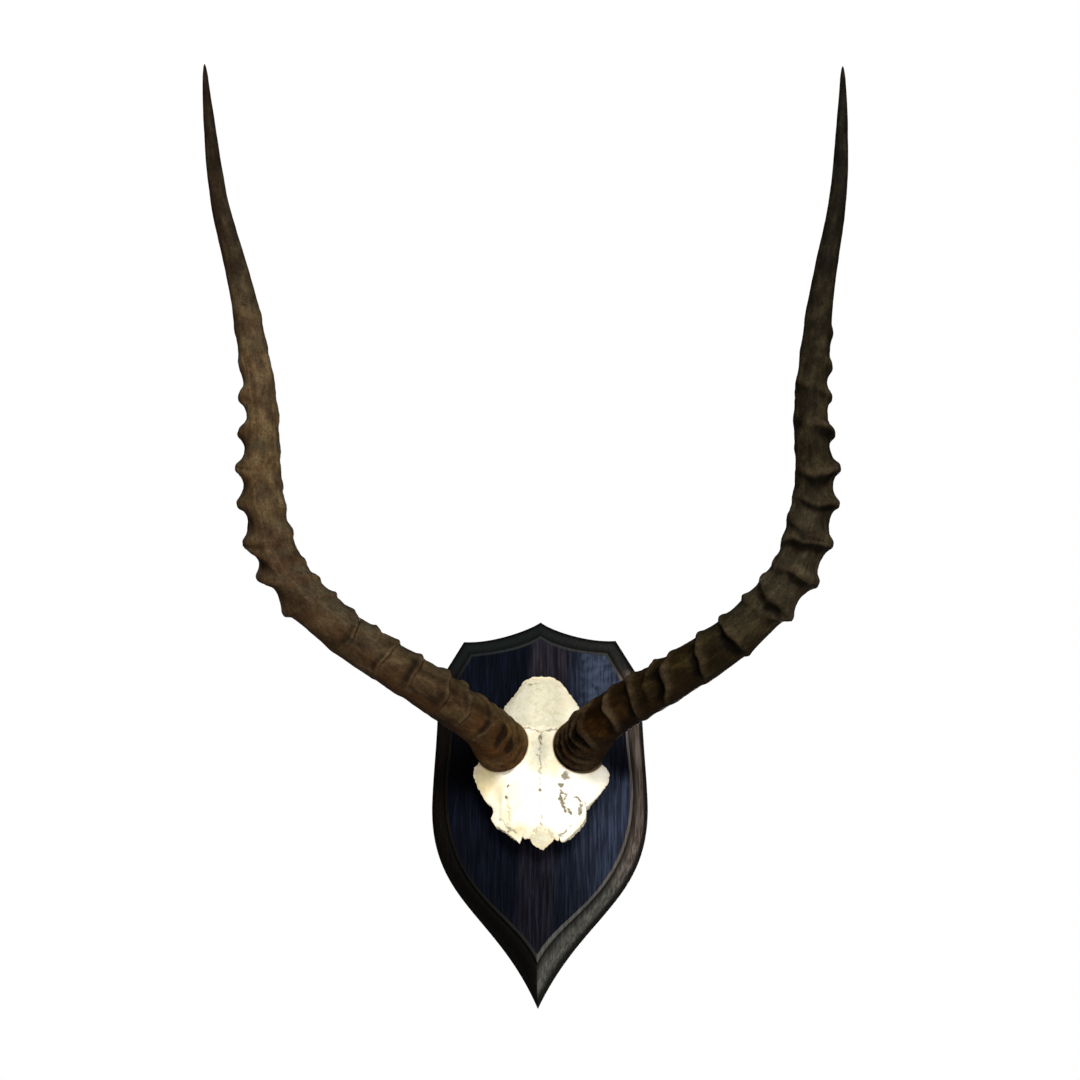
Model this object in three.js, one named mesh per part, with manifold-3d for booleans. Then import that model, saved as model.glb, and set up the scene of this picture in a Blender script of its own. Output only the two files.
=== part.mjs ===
// A pair of impala horns on their bleached skull plate, screwed to a dark oak shield that hangs
// flat on a wall. Millimetres, +Z up, the front faces -Y and the shield's flat back lies in y = 0.
// Most shapes are written as (x, z) across the wall and a height above it, which is -y.

import * as THREE from 'three';
import { mergeVertices } from 'three/addons/utils/BufferGeometryUtils.js';
import Module from 'manifold-3d';

const wasm = await Module();
wasm.setup();

// ---- Driving dimensions -------------------------------------------------------------------

const boardThickness = 20;
const fittingGap = 0.4;

// The shield's outer edge and the edge of its flat field, right half as (x, z). Each is a concave
// brow from the apex, a straight ear from corner to shoulder, a waist and a long sweep to the point.
const outerEdge = {
  apex: [0.8, 143],
  brow: [[6, 138], [34, 127]],
  corner: [57, 128.4],
  shoulder: [76.4, 96.8],
  waist: [[75.4, 61], [79.4, 34]],
  hip: [80, 4],
  sweep: [[80, -66], [31.5, -74.5]],
  point: [-1.5, -143],
};
const fieldEdge = {
  apex: [1.5, 128.5],
  brow: [[12, 119.6], [32, 116.8]],
  corner: [50, 115.2],
  shoulder: [64.2, 91],
  waist: [[62, 60], [68.5, 31]],
  hip: [68, 8],
  sweep: [[64.6, -62], [16, -74.5]],
  point: [-1, -106.4],
};
// The moulding from the back edge to the field: share of the way inward, height above the wall.
const moulding = [
  [0, 0], [0, 5], [0.04, 7], [0.2, 10.5], [0.42, 13.5], [0.64, 15.6], [0.8, 16.2], [0.85, 16],
  [0.89, 19.2], [0.95, boardThickness], [1, boardThickness],
];

// The skull plate: outline as (x, z), counterclockwise seen from the front, starting at the wing
// over the left eye socket. The nasal end at the bottom is broken off in short spurs.
const skullCentre = [2.5, 36];
const skullOutline = [
  [-43.8, 32], [-47.1, 29.2], [-47.5, 24.5], [-44.7, 16], [-38, 4], [-33.3, 0], [-32, -3.7],
  [-34.2, -8.4], [-31.3, -13.2], [-24.7, -17], [-17.3, -22.5], [-13.2, -26.4], [-10.9, -21.2],
  [-9.7, -23], [-5.5, -23.1], [-4, -26.8], [-0.3, -29.6], [4.2, -31], [8, -27.8], [12.5, -23.2],
  [15.3, -25.1], [15.9, -21.6], [16.8, -25.4], [19.4, -25], [25.6, -19.8], [31.4, -14], [35.2, -8],
  [35.6, -0.9], [43.4, 6.6], [51.3, 16.6], [52.7, 24], [50.4, 28.6], [46.7, 31.5], [45, 40],
  [41, 50], [36, 60], [31, 67], [30.3, 75], [23.2, 85.4], [16.5, 94.8], [10, 98.6], [2.4, 99.1],
  [-5.2, 98.7], [-10.9, 95.9], [-17.4, 85.2], [-25.3, 75.4], [-27, 66], [-34, 57], [-40, 46],
];
// Height of the bone above the board along the midline, as (z, height), nasal end to crown.
const skullCrest = [
  [-31, 20], [-15, 27], [0, 31], [15, 33], [30, 33], [45, 31], [55, 28], [63, 24], [75, 17],
  [90, 9], [99, 5],
];
const skullSideFall = { halfWidth: 47, drop: 13, power: 2.6 };
const skullRows = [0, 0.2, 0.4, 0.58, 0.74, 0.87, 0.96, 1];
const skullEdgeRound = 1.5;
// Hollows of the plate's underside: an eye socket under each wing and the nasal passage.
const eyeSocket = { offset: 52, z: 14, height: 2, radii: [22, 15, 20] };
const nasalPassage = { x: 2.5, z: -24, height: 3, radii: [20, 17, 34] };

// The horns' centre lines from base to tip, as (x, y, z).
const leftPath = [
  [-26, -47, 44.5], [-32, -70, 50.5], [-42, -92, 56.5], [-57, -112, 65], [-78, -132, 77.5],
  [-131, -158, 111], [-169.5, -171, 150], [-184.5, -178, 199.5], [-188.5, -173, 269],
  [-203, -168, 347.5], [-222, -174, 423.5], [-229, -190, 487], [-230, -200, 513],
];
const rightPath = [
  [31, -47, 43.2], [39, -70, 49.2], [50, -92, 55.5], [66, -112, 64.2], [90, -132, 75.2],
  [141.5, -158, 105], [182, -171, 148], [196, -178, 199], [196.5, -173, 264], [205, -168, 342],
  [218.5, -174, 416.5], [222, -190, 478], [222, -200, 503],
];
// The rings of each horn from base to tip: distance from the base on the outer and on the inner
// side, then the crest's height on the outer side, in front and on the inner side.
const leftRings = [
  [6, 7, 0.6, 1.2, 1], [14, 16, 0.6, 1.4, 1.2], [23, 27, 0.7, 1.8, 1.6], [34, 40, 0.8, 2.2, 2],
  [47, 55, 0.8, 2.6, 2.2], [61, 70, 0.8, 2.8, 2.5], [75, 86, 0.7, 3, 2.6], [90, 102, 0.6, 3, 2.7],
  [107, 119, 0.6, 3, 2.7], [126, 139, 0.5, 3, 2.7], [147, 160, 0.5, 3, 2.6],
  [165, 177, 0.6, 2.8, 2.4], [186, 198, 1.2, 2.8, 2.4], [208, 215, 4.4, 2.6, 2.2],
  [222, 231, 1, 1.6, 2], [236, 246, 4.8, 2.4, 1.9], [259, 268, 4.8, 2.2, 1.6],
  [281, 292, 4.8, 2.2, 1.4], [308, 319, 4.6, 2, 1.2], [333, 345, 4.4, 1.8, 1.1],
  [359, 373, 3.2, 1.4, 1], [385, 395, 2.2, 1, 0.9], [412, 420, 1.2, 0.6, 0.6],
];
const rightRings = [
  [6, 7, 0.6, 1.2, 1], [14, 16, 0.6, 1.4, 1.2], [23, 27, 0.7, 1.8, 1.6], [34, 40, 0.8, 2.2, 2],
  [46, 54, 0.8, 2.6, 2.2], [61, 68, 0.8, 2.8, 2.5], [76, 82, 0.8, 3, 2.6], [90, 98, 0.8, 3, 2.7],
  [107, 116, 1, 3, 2.7], [124, 133, 1, 3, 2.7], [140, 150, 1.2, 3, 2.7],
  [166, 173, 1.2, 2.8, 2.4], [186, 200, 1.2, 2.8, 2.4], [206, 217, 4.4, 2.6, 2.2],
  [233, 240, 4.8, 2.4, 2], [248, 256, 1, 1.6, 1.8], [261, 273, 4.8, 2.2, 1.8],
  [283, 295, 4.8, 2.2, 1.5], [311, 322, 4.8, 2.2, 1.3], [336, 349, 4.4, 1.8, 1.2],
  [362, 373, 3.2, 1.4, 1], [385, 393, 2.2, 1, 0.9], [410, 421, 1.2, 0.6, 0.6],
];
const ringBackHeight = 0.4;
const ringFoot = 4.5;
const ringFootHeight = 0.25;
const crowdedRings = 14;
const plainRowSpacing = 24;
// Radius of the horn between its rings, as (distance from the tip, radius).
const hornTaper = [
  [0, 0.8], [8, 1.9], [37, 3.9], [73, 5.5], [110, 6.7], [147, 8.1], [183, 9.4], [220, 10.8],
  [257, 11.9], [293, 13.3], [340, 14.8], [560, 15.4], [585, 17.4], [600, 19], [620, 19.6],
];
const hornDepthRatio = 1.06;
const hornSides = 15;

const pedicle = { topRadius: 17.4, footRadius: 15.5, length: 15 };
const hornSeatRadius = 21;

// The keyhole hanger sunk in the shield's back, and the screws.
const hanger = { z: 94, width: 20, height: 48, thickness: 1.5, screwOffset: 18 };
const keyhole = { entryRadius: 5, slotWidth: 5, entryDrop: 6, slotTop: 9 };
const keyholePocket = { width: 13, height: 27, depth: 9 };
const hangerScrew = { headRadius: 3.1, headHeight: 1.4, shankRadius: 1.3, length: 13, sink: 0.45 };
const skullScrew = { headRadius: 4.4, headHeight: 3, shankRadius: 2, length: 38, sink: 0.6 };
const skullScrewOffset = 20;
const skullScrewZ = 46;
const slotSize = [0.9, 0.7];

// ---- Small tools --------------------------------------------------------------------------

const { lerp, clamp } = THREE.MathUtils;

function interpolate(table, at) {
  const next = table.findIndex(([key]) => key > at);
  if (next === 0) return table[0][1];
  if (next === -1) return table.at(-1)[1];
  const [[from, low], [to, high]] = [table[next - 1], table[next]];
  return lerp(low, high, (at - from) / (to - from));
}

function weld(geometry) {
  geometry.deleteAttribute('normal');
  geometry.deleteAttribute('uv');
  return mergeVertices(geometry, 1e-4);
}

function solid(geometry) {
  const welded = weld(geometry);
  const vertProperties = Float32Array.from(welded.attributes.position.array);
  const triVerts = Uint32Array.from(welded.index.array);
  const mesh = new wasm.Mesh({ numProp: 3, vertProperties, triVerts });
  mesh.merge();
  return new wasm.Manifold(mesh);
}

function geometryOf(manifold) {
  const { numProp, vertProperties, triVerts } = manifold.getMesh();
  const geometry = new THREE.BufferGeometry();
  geometry.setAttribute('position', new THREE.BufferAttribute(vertProperties, numProp));
  geometry.setIndex(new THREE.BufferAttribute(triVerts, 1));
  return geometry;
}

function moveVertices(geometry, place) {
  const position = geometry.attributes.position;
  const vertex = new THREE.Vector3();
  for (let i = 0; i < position.count; i += 1) {
    vertex.fromBufferAttribute(position, i);
    place(vertex, i);
    position.setXYZ(i, vertex.x, vertex.y, vertex.z);
  }
  return geometry;
}

// Turns a shape drawn in (x, z) and its thickness into a geometry standing off the wall.
function slab(shape, depth, y) {
  const options = { depth, bevelEnabled: false, curveSegments: 6 };
  return new THREE.ExtrudeGeometry(shape, options).rotateX(Math.PI / 2).translate(0, y, 0);
}

function boxAt(size, centre) {
  return new THREE.BoxGeometry(...size).translate(...centre);
}

function ellipsoid([rx, ry, rz], centre) {
  return new THREE.SphereGeometry(1, 20, 12).scale(rx, ry, rz).translate(...centre);
}

function stadium(width, height) {
  const radius = width / 2;
  const reach = height / 2 - radius;
  const shape = new THREE.Shape();
  shape.absarc(0, reach, radius, 0, Math.PI);
  shape.absarc(0, -reach, radius, Math.PI, 2 * Math.PI);
  shape.closePath();
  return shape;
}

// ---- The shield ---------------------------------------------------------------------------

function shieldOutline({ apex, brow, corner, shoulder, waist, hip, sweep, point }) {
  const mirror = ([x, z]) => [-x, z];
  const shape = new THREE.Shape();
  shape.moveTo(...apex);
  shape.bezierCurveTo(...brow[0], ...brow[1], ...corner);
  shape.lineTo(...shoulder);
  shape.bezierCurveTo(...waist[0], ...waist[1], ...hip);
  shape.bezierCurveTo(...sweep[0], ...sweep[1], ...point);
  shape.bezierCurveTo(...mirror(sweep[1]), ...mirror(sweep[0]), ...mirror(hip));
  shape.bezierCurveTo(...mirror(waist[1]), ...mirror(waist[0]), ...mirror(shoulder));
  shape.lineTo(...mirror(corner));
  shape.bezierCurveTo(...mirror(brow[1]), ...mirror(brow[0]), ...apex);
  return shape;
}

function shieldBoard() {
  const curveSegments = 7;
  const outer = shieldOutline(outerEdge);
  const outerPoints = outer.getPoints(curveSegments);
  const fieldPoints = shieldOutline(fieldEdge).getPoints(curveSegments);
  const fieldOf = ({ x, y }) => {
    const near = outerPoints.findIndex((point) => Math.hypot(point.x - x, point.y - y) < 0.01);
    return fieldPoints[near];
  };
  const steps = moulding.length - 1;
  const options = { depth: 1, steps, bevelEnabled: false, curveSegments };
  const board = new THREE.ExtrudeGeometry(outer, options);
  return moveVertices(board, (vertex) => {
    const [inward, height] = moulding[Math.round(vertex.z * steps)];
    const field = fieldOf(vertex);
    const x = lerp(vertex.x, field.x, inward);
    const z = lerp(vertex.y, field.y, inward);
    vertex.set(x, -height, z);
  });
}

// ---- Screws and the hanger ----------------------------------------------------------------

// A countersunk screw driven from the wall side along -Y. With a clearance it is the hole for
// one, which then also runs out through the wall plane.
function screwBlank({ headRadius, headHeight, shankRadius, length, sink }, x, z, clearance = 0) {
  const tip = 2 * shankRadius;
  const mouth = clearance > 0 ? 5 : 0;
  const profile = [
    [0, mouth],
    [headRadius + clearance, mouth],
    [headRadius + clearance, -clearance],
    [shankRadius + clearance, -headHeight - clearance],
    [shankRadius + clearance, tip - length],
    [0, -length - 2 * clearance],
  ];
  const points = profile.map(([radius, y]) => new THREE.Vector2(radius, y));
  return new THREE.LatheGeometry(points.reverse(), 16).translate(x, -sink, z);
}

function screw(size, x, z) {
  const [slotWidth, slotDepth] = slotSize;
  const slot = boxAt([3 * size.headRadius, 2 * slotDepth, slotWidth], [x, -size.sink, z]);
  return solid(screwBlank(size, x, z)).subtract(solid(slot));
}

function screwHole(size, x, z) {
  return solid(screwBlank(size, x, z, fittingGap));
}

const hangerScrewHeights = [hanger.z + hanger.screwOffset, hanger.z - hanger.screwOffset];
const skullScrewPlaces = [skullCentre[0] - skullScrewOffset, skullCentre[0] + skullScrewOffset];

function hangerPlate() {
  const { entryRadius, slotWidth, entryDrop, slotTop } = keyhole;
  const slotHalf = slotWidth / 2;
  const lean = Math.asin(slotHalf / entryRadius);
  const shape = stadium(hanger.width, hanger.height);
  const opening = new THREE.Path();
  opening.absarc(0, -entryDrop, entryRadius, Math.PI / 2 + lean, Math.PI / 2 - lean + 2 * Math.PI);
  opening.absarc(0, slotTop, slotHalf, 0, Math.PI);
  opening.closePath();
  shape.holes.push(opening);
  let plate = solid(slab(shape, hanger.thickness, -fittingGap).translate(0, 0, hanger.z));
  for (const z of hangerScrewHeights) plate = plate.subtract(screwHole(hangerScrew, 0, z));
  return plate;
}

function shieldPlaque() {
  const { width, height, thickness } = hanger;
  const recess = stadium(width + 2 * fittingGap, height + 2 * fittingGap);
  const recessDepth = thickness + 2 * fittingGap;
  const overlap = 1;
  const pocket = stadium(keyholePocket.width, keyholePocket.height);
  const cuts = [
    slab(recess, recessDepth + overlap, overlap).translate(0, 0, hanger.z),
    slab(pocket, keyholePocket.depth + overlap, overlap).translate(0, 0, hanger.z),
  ];
  let board = solid(shieldBoard());
  for (const cut of cuts) board = board.subtract(solid(cut));
  for (const z of hangerScrewHeights) board = board.subtract(screwHole(hangerScrew, 0, z));
  for (const x of skullScrewPlaces) board = board.subtract(screwHole(skullScrew, x, skullScrewZ));
  return board;
}

// ---- The horns ----------------------------------------------------------------------------

// A smooth value around the horn from those on its outer, front, inner and back sides.
function aroundHorn(angle, sides) {
  const quarter = (angle / (Math.PI / 2) + 4) % 4;
  const from = Math.floor(quarter);
  const share = THREE.MathUtils.smoothstep(quarter - from, 0, 1);
  return lerp(sides[from % 4], sides[(from + 1) % 4], share);
}

// One row of the horn's mesh for each ring crest, its two feet and the hollow up to the next.
function hornRows(rings, length) {
  const rows = [];
  const addRow = (outer, inner, heights) => rows.push({ outer, inner, heights });
  const flat = [0, 0, 0, 0];
  addRow(0, 0, flat);
  rings.forEach(([outer, inner, ...crest], i) => {
    const heights = [...crest, ringBackHeight];
    const foot = heights.map((height) => height * ringFootHeight);
    const [nextOuter, nextInner] = rings[i + 1] ?? [outer + plainRowSpacing, inner + plainRowSpacing];
    const crowded = nextOuter - outer < crowdedRings;
    addRow(outer, inner, heights);
    if (!crowded) addRow(outer + ringFoot, inner + ringFoot, foot);
    addRow((outer + nextOuter) / 2, (inner + nextInner) / 2, flat);
    const nextFoot = (rings[i + 1] ?? []).slice(2).map((height) => height * ringFootHeight);
    if (!crowded && nextFoot.length) {
      addRow(nextOuter - ringFoot, nextInner - ringFoot, [...nextFoot, foot[3]]);
    }
  });
  const lastRing = Math.max(rings.at(-1)[0], rings.at(-1)[1]);
  const plainRows = Math.ceil((length - lastRing) / plainRowSpacing);
  for (let i = 1; i <= plainRows; i += 1) {
    const at = lerp(lastRing + plainRowSpacing / 2, length, (i / plainRows) ** 0.85);
    addRow(at, at, flat);
  }
  return rows;
}

// The horn's own axes at a point of its curve: along it, towards the viewer and to the right.
function hornAxes(curve, share) {
  const along = curve.getTangentAt(share);
  const front = new THREE.Vector3(0, -1, 0);
  front.addScaledVector(along, -front.dot(along)).normalize();
  const right = new THREE.Vector3().crossVectors(along, front);
  return { along, front, right };
}

function hornCurve(path) {
  const curve = new THREE.CatmullRomCurve3(path.map((point) => new THREE.Vector3(...point)));
  curve.arcLengthDivisions = 600;
  return curve;
}

function horn(path, rings, outerSide) {
  const curve = hornCurve(path);
  const length = curve.getLength();
  const rows = hornRows(rings, length);
  const geometry = new THREE.CylinderGeometry(1, 1, 1, hornSides, rows.length - 1);
  moveVertices(geometry, (vertex) => {
    const row = rows[Math.round((vertex.y + 0.5) * (rows.length - 1))];
    const angle = Math.atan2(vertex.z, vertex.x * outerSide);
    const outerShare = (1 + Math.cos(angle)) / 2;
    const distance = lerp(row.inner, row.outer, outerShare);
    const share = clamp(distance / length, 0, 1);
    const radius = interpolate(hornTaper, length - distance) + aroundHorn(angle, row.heights);
    const { front, right } = hornAxes(curve, share);
    const sideways = vertex.x * radius;
    const forwards = vertex.z * radius * hornDepthRatio;
    vertex.copy(curve.getPointAt(share));
    vertex.addScaledVector(right, sideways).addScaledVector(front, forwards);
  });
  return solid(geometry);
}

// A round bar along a horn's axis at its base: from one distance along it to another.
function baseBar(path, from, to, fromRadius, toRadius) {
  const curve = hornCurve(path);
  const { along } = hornAxes(curve, 0);
  const turn = new THREE.Quaternion().setFromUnitVectors(new THREE.Vector3(0, 1, 0), along);
  const bar = new THREE.CylinderGeometry(toRadius, fromRadius, to - from, 24);
  bar.translate(0, (from + to) / 2, 0).applyQuaternion(turn);
  return bar.translate(...curve.getPointAt(0).toArray());
}

// ---- The skull plate ----------------------------------------------------------------------

function boneHeight(x, z) {
  const { halfWidth, drop, power } = skullSideFall;
  const aside = Math.abs(x - skullCentre[0]) / halfWidth;
  const crest = interpolate(skullCrest, z);
  return Math.max(crest - drop * aside ** power, 4);
}

// The outline evened out over its neighbours, which the inner rows of the bone follow.
function evenOutline(outline) {
  const reach = 3;
  const offsets = Array.from({ length: 2 * reach + 1 }, (_, i) => i - reach);
  const near = (i, offset) => outline[(i + offset + outline.length) % outline.length];
  const mean = (i, axis) => offsets.reduce((sum, o) => sum + near(i, o)[axis], 0) / offsets.length;
  return outline.map((_, i) => [mean(i, 0), mean(i, 1)]);
}

function skullBlank() {
  const columns = skullOutline.length;
  const frontRows = skullRows.length;
  const even = evenOutline(skullOutline);
  const back = -boardThickness - fittingGap;
  const geometry = new THREE.SphereGeometry(1, columns, frontRows + 1);
  return moveVertices(geometry, (vertex, i) => {
    const row = Math.floor(i / (columns + 1));
    const column = (i % (columns + 1)) % columns;
    const share = row < frontRows ? skullRows[row] : frontRows + 1 - row;
    const edge = [0, 1].map((axis) => lerp(even[column][axis], skullOutline[column][axis], share ** 6));
    const x = lerp(skullCentre[0], edge[0], share);
    const z = lerp(skullCentre[1], edge[1], share);
    const rounding = skullEdgeRound * share ** 8;
    const height = row < frontRows ? boneHeight(x, z) - rounding : 0;
    vertex.set(x, back - height, z);
  });
}

function skullPlate() {
  const back = -boardThickness - fittingGap;
  const { offset, z, height, radii } = eyeSocket;
  const passage = nasalPassage;
  let bone = solid(skullBlank());
  for (const side of [-1, 1]) {
    const centre = [skullCentre[0] + side * offset, back - height, z];
    bone = bone.subtract(solid(ellipsoid(radii, centre)));
  }
  const passageCentre = [passage.x, back - passage.height, passage.z];
  bone = bone.subtract(solid(ellipsoid(passage.radii, passageCentre)));
  for (const path of [leftPath, rightPath]) {
    const { topRadius, footRadius, length } = pedicle;
    bone = bone.add(solid(baseBar(path, -length, -fittingGap, footRadius, topRadius)));
    bone = bone.subtract(solid(baseBar(path, -fittingGap, 3 * length, hornSeatRadius, hornSeatRadius)));
  }
  for (const x of skullScrewPlaces) bone = bone.subtract(screwHole(skullScrew, x, skullScrewZ));
  return bone;
}

// ---- The parts ----------------------------------------------------------------------------

const materials = {
  stainedOak: { color: 0x171b26, roughness: 0.45, metalness: 0 },
  bleachedBone: { color: 0xeae1cc, roughness: 0.75, metalness: 0 },
  brownHorn: { color: 0x564531, roughness: 0.6, metalness: 0 },
  darkHorn: { color: 0x352b20, roughness: 0.6, metalness: 0 },
  zincSteel: { color: 0xb9bcc0, roughness: 0.35, metalness: 1 },
};

const group = new THREE.Group();

function addPiece(name, manifold, material) {
  const mesh = new THREE.Mesh(geometryOf(manifold), new THREE.MeshStandardMaterial(material));
  mesh.name = name;
  group.add(mesh);
}

addPiece('shield_plaque', shieldPlaque(), materials.stainedOak);
addPiece('skull_plate', skullPlate(), materials.bleachedBone);
addPiece('horn_left', horn(leftPath, leftRings, -1), materials.brownHorn);
addPiece('horn_right', horn(rightPath, rightRings, 1), materials.darkHorn);
addPiece('hanger_plate', hangerPlate(), materials.zincSteel);
['upper', 'lower'].forEach((place, i) => {
  addPiece(`hanger_screw_${place}`, screw(hangerScrew, 0, hangerScrewHeights[i]), materials.zincSteel);
});
['left', 'right'].forEach((side, i) => {
  addPiece(`skull_screw_${side}`, screw(skullScrew, skullScrewPlaces[i], skullScrewZ), materials.zincSteel);
});

export default group;
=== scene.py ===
# %% [markdown]
# # Impala horns on an oak shield
# A wall trophy: two ringed horns on a bleached skull plate, screwed to a dark stained oak shield.
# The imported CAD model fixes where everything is. This lesson loads it and then gives every piece
# its real surface: grown rings, broken bone, open-grained oak and zinc fittings.

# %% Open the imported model
import math

import bpy
import numpy as np
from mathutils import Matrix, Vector, noise


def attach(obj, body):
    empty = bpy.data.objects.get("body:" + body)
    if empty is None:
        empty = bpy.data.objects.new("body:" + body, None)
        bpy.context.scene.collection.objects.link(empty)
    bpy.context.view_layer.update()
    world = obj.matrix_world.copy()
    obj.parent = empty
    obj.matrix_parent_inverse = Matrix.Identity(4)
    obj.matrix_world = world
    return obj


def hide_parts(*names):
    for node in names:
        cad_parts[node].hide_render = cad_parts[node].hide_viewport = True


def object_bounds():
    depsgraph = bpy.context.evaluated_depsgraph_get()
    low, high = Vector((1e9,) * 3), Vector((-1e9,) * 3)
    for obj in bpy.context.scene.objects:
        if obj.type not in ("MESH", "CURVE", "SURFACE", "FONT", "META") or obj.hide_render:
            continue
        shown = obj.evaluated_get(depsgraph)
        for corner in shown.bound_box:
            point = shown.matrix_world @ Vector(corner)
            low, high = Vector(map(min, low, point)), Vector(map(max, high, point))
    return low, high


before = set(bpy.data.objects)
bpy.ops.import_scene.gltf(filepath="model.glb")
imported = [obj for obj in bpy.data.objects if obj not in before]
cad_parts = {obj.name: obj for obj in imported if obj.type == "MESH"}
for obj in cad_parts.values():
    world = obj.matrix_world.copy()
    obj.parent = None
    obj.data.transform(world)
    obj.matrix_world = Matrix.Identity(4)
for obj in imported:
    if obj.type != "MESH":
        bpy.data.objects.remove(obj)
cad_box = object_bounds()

MM = 0.001
print("CAD nodes:", sorted(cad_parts))
print("CAD box in metres:", [[round(value, 4) for value in corner] for corner in cad_box])

# %% [markdown]
# ## Camera
# The trophy hangs above eye level, so it is seen from a little below and from the right. A long
# lens on a full frame keeps the horns straight, as a viewer across a room sees them.

# %% Camera
EYE = Vector((0.085, -1.9, -0.2))
AIM = Vector((0.0, 0.0, 0.2073))
LENS, FILM_WIDTH = 85.43, 36.0


def newest(name):
    thing = bpy.context.object
    thing.name = name
    return thing


def turn_to(thing, aim):
    thing.rotation_euler = (aim - thing.location).to_track_quat("-Z", "Y").to_euler()


bpy.ops.object.camera_add(location=EYE)
camera = newest("viewer")
turn_to(camera, AIM)
camera.data.lens = LENS
camera.data.sensor_width = FILM_WIDTH
bpy.context.scene.camera = camera
print("camera looks up by", round(math.degrees(math.atan2(AIM.z - EYE.z, -EYE.y)), 1), "degrees")

# %% [markdown]
# ## Studio
# A white room gives the white ground behind the trophy. It lights the pieces only weakly, so that
# large soft lamps can draw the shapes: the main one is high in front, a weaker one low on the
# right, a faint warm one on the left, and one behind lights the wall side.

# %% White room
ROOM_SEEN, ROOM_LIGHT = 1.0, 0.2


def glow(tree, strength, seen, lit=0.0):
    ray = tree.nodes.new("ShaderNodeLightPath")
    amount = tree.nodes.new("ShaderNodeMapRange")
    amount.inputs["To Min"].default_value = lit
    amount.inputs["To Max"].default_value = seen
    tree.links.new(ray.outputs["Is Camera Ray"], amount.inputs["Value"])
    tree.links.new(amount.outputs["Result"], strength)


room = bpy.data.worlds.new("white_room")
bpy.context.scene.world = room
room.use_nodes = True
backdrop = room.node_tree.nodes["Background"]
backdrop.inputs["Color"].default_value = (1.0, 1.0, 1.0, 1.0)
glow(room.node_tree, backdrop.inputs["Strength"], ROOM_SEEN, ROOM_LIGHT)
bpy.context.scene.view_settings.view_transform = "Standard"
print("room light", ROOM_LIGHT)

# %% Soft lamps
LAMPS_AIM = Vector((0, 0, 0.1))
WHITE, DAY_WHITE, WARM_WHITE = (1.0, 1.0, 1.0), (1.0, 0.985, 0.965), (1.0, 0.94, 0.86)


def soft_lamp(name, place, width, power, light):
    bpy.ops.object.light_add(type="AREA", location=place)
    lamp = newest(name)
    turn_to(lamp, LAMPS_AIM)
    lamp.data.shape = "DISK"
    lamp.data.size = width
    lamp.data.energy = power
    lamp.data.color = light
    print(name, "at", place, "with", power, "W")


soft_lamp("key_lamp", (0.35, -2.2, 0.95), 0.8, 92.0, DAY_WHITE)
soft_lamp("side_lamp", (1.1, -2.1, -0.4), 1.0, 26.0, DAY_WHITE)
soft_lamp("fill_lamp", (-1.8, -1.6, 0.5), 1.0, 9.0, WARM_WHITE)
soft_lamp("back_lamp", (0.2, 1.8, 0.3), 1.0, 34.0, WHITE)

# %% [markdown]
# The floor is far below the trophy, as under a hanging thing, and out of the camera's view. Like
# the room it looks paler than it is lit, so that it stays pale away from the lamps.

# %% Floor
FLOOR_HEIGHT, FLOOR_WIDTH = -0.9, 8.0
FLOOR_COLOUR, FLOOR_SEEN, FLOOR_ROUGHNESS = (0.78, 0.77, 0.75, 1), 0.42, 0.7

bpy.ops.mesh.primitive_plane_add(size=FLOOR_WIDTH, location=(0, 0, FLOOR_HEIGHT))
floor = newest("floor")
floor_paint = bpy.data.materials.new("pale_floor")
floor_paint.use_nodes = True
floor_coat = floor_paint.node_tree.nodes["Principled BSDF"]
floor_coat.inputs["Base Color"].default_value = FLOOR_COLOUR
floor_coat.inputs["Roughness"].default_value = FLOOR_ROUGHNESS
floor_coat.inputs["Emission Color"].default_value = FLOOR_COLOUR
glow(floor_paint.node_tree, floor_coat.inputs["Emission Strength"], FLOOR_SEEN)
floor.data.materials.append(floor_paint)
print("floor at", FLOOR_HEIGHT)


# %% [markdown]
# ## Small tools
# Every piece is started from a primitive and shaped in edit mode. Bone and horn have surfaces
# that no edit-mode operator draws, so their points are then moved one by one, as in sculpting,
# by a rule that says how far each point stands out.

# %% Selecting and reading points
def deselect_all():
    bpy.ops.object.select_all(action="DESELECT")


def apply_place():
    bpy.ops.object.transform_apply(location=True, rotation=True, scale=True)


def edit_all():
    bpy.ops.object.mode_set(mode="EDIT")
    bpy.ops.mesh.select_all(action="SELECT")


def extrude_by(x, y, z):
    bpy.ops.mesh.extrude_region_move(TRANSFORM_OT_translate={"value": (x, y, z)})


def leave_facing_out():
    bpy.ops.mesh.select_all(action="SELECT")
    bpy.ops.mesh.normals_make_consistent(inside=False)
    bpy.ops.object.mode_set(mode="OBJECT")


def points_of(piece):
    flat = np.empty(3 * len(piece.data.vertices))
    piece.data.vertices.foreach_get("co", flat)
    return flat.reshape(-1, 3)


def move_points(piece, points):
    piece.data.vertices.foreach_set("co", np.ascontiguousarray(points, dtype=float).ravel())
    piece.data.update()


def mark_points(piece, name, values):
    kind, field = ("FLOAT_VECTOR", "vector") if values.ndim == 2 else ("FLOAT", "value")
    attribute = piece.data.attributes.new(name, kind, "POINT")
    attribute.data.foreach_set(field, np.ascontiguousarray(values, dtype=float).ravel())


# %% Smooth steps and noise
NOISE_GAIN, NOISE_LACUNARITY = 0.9, 2.1


def smooth_step(value, low, high):
    share = np.clip((value - low) / (high - low), 0, 1)
    return share * share * (3 - 2 * share)


def fade(value, low, high):
    return 1 - smooth_step(value, low, high)


def bump_at(distance, width):
    return np.exp(-((distance / width) ** 2))


def rough_noise(x, y, z, octaves=3):
    places = np.column_stack(np.broadcast_arrays(x, y, z)).tolist()
    settings = (NOISE_GAIN, NOISE_LACUNARITY, octaves)
    return np.array([noise.fractal(Vector(place), *settings) for place in places])


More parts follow.
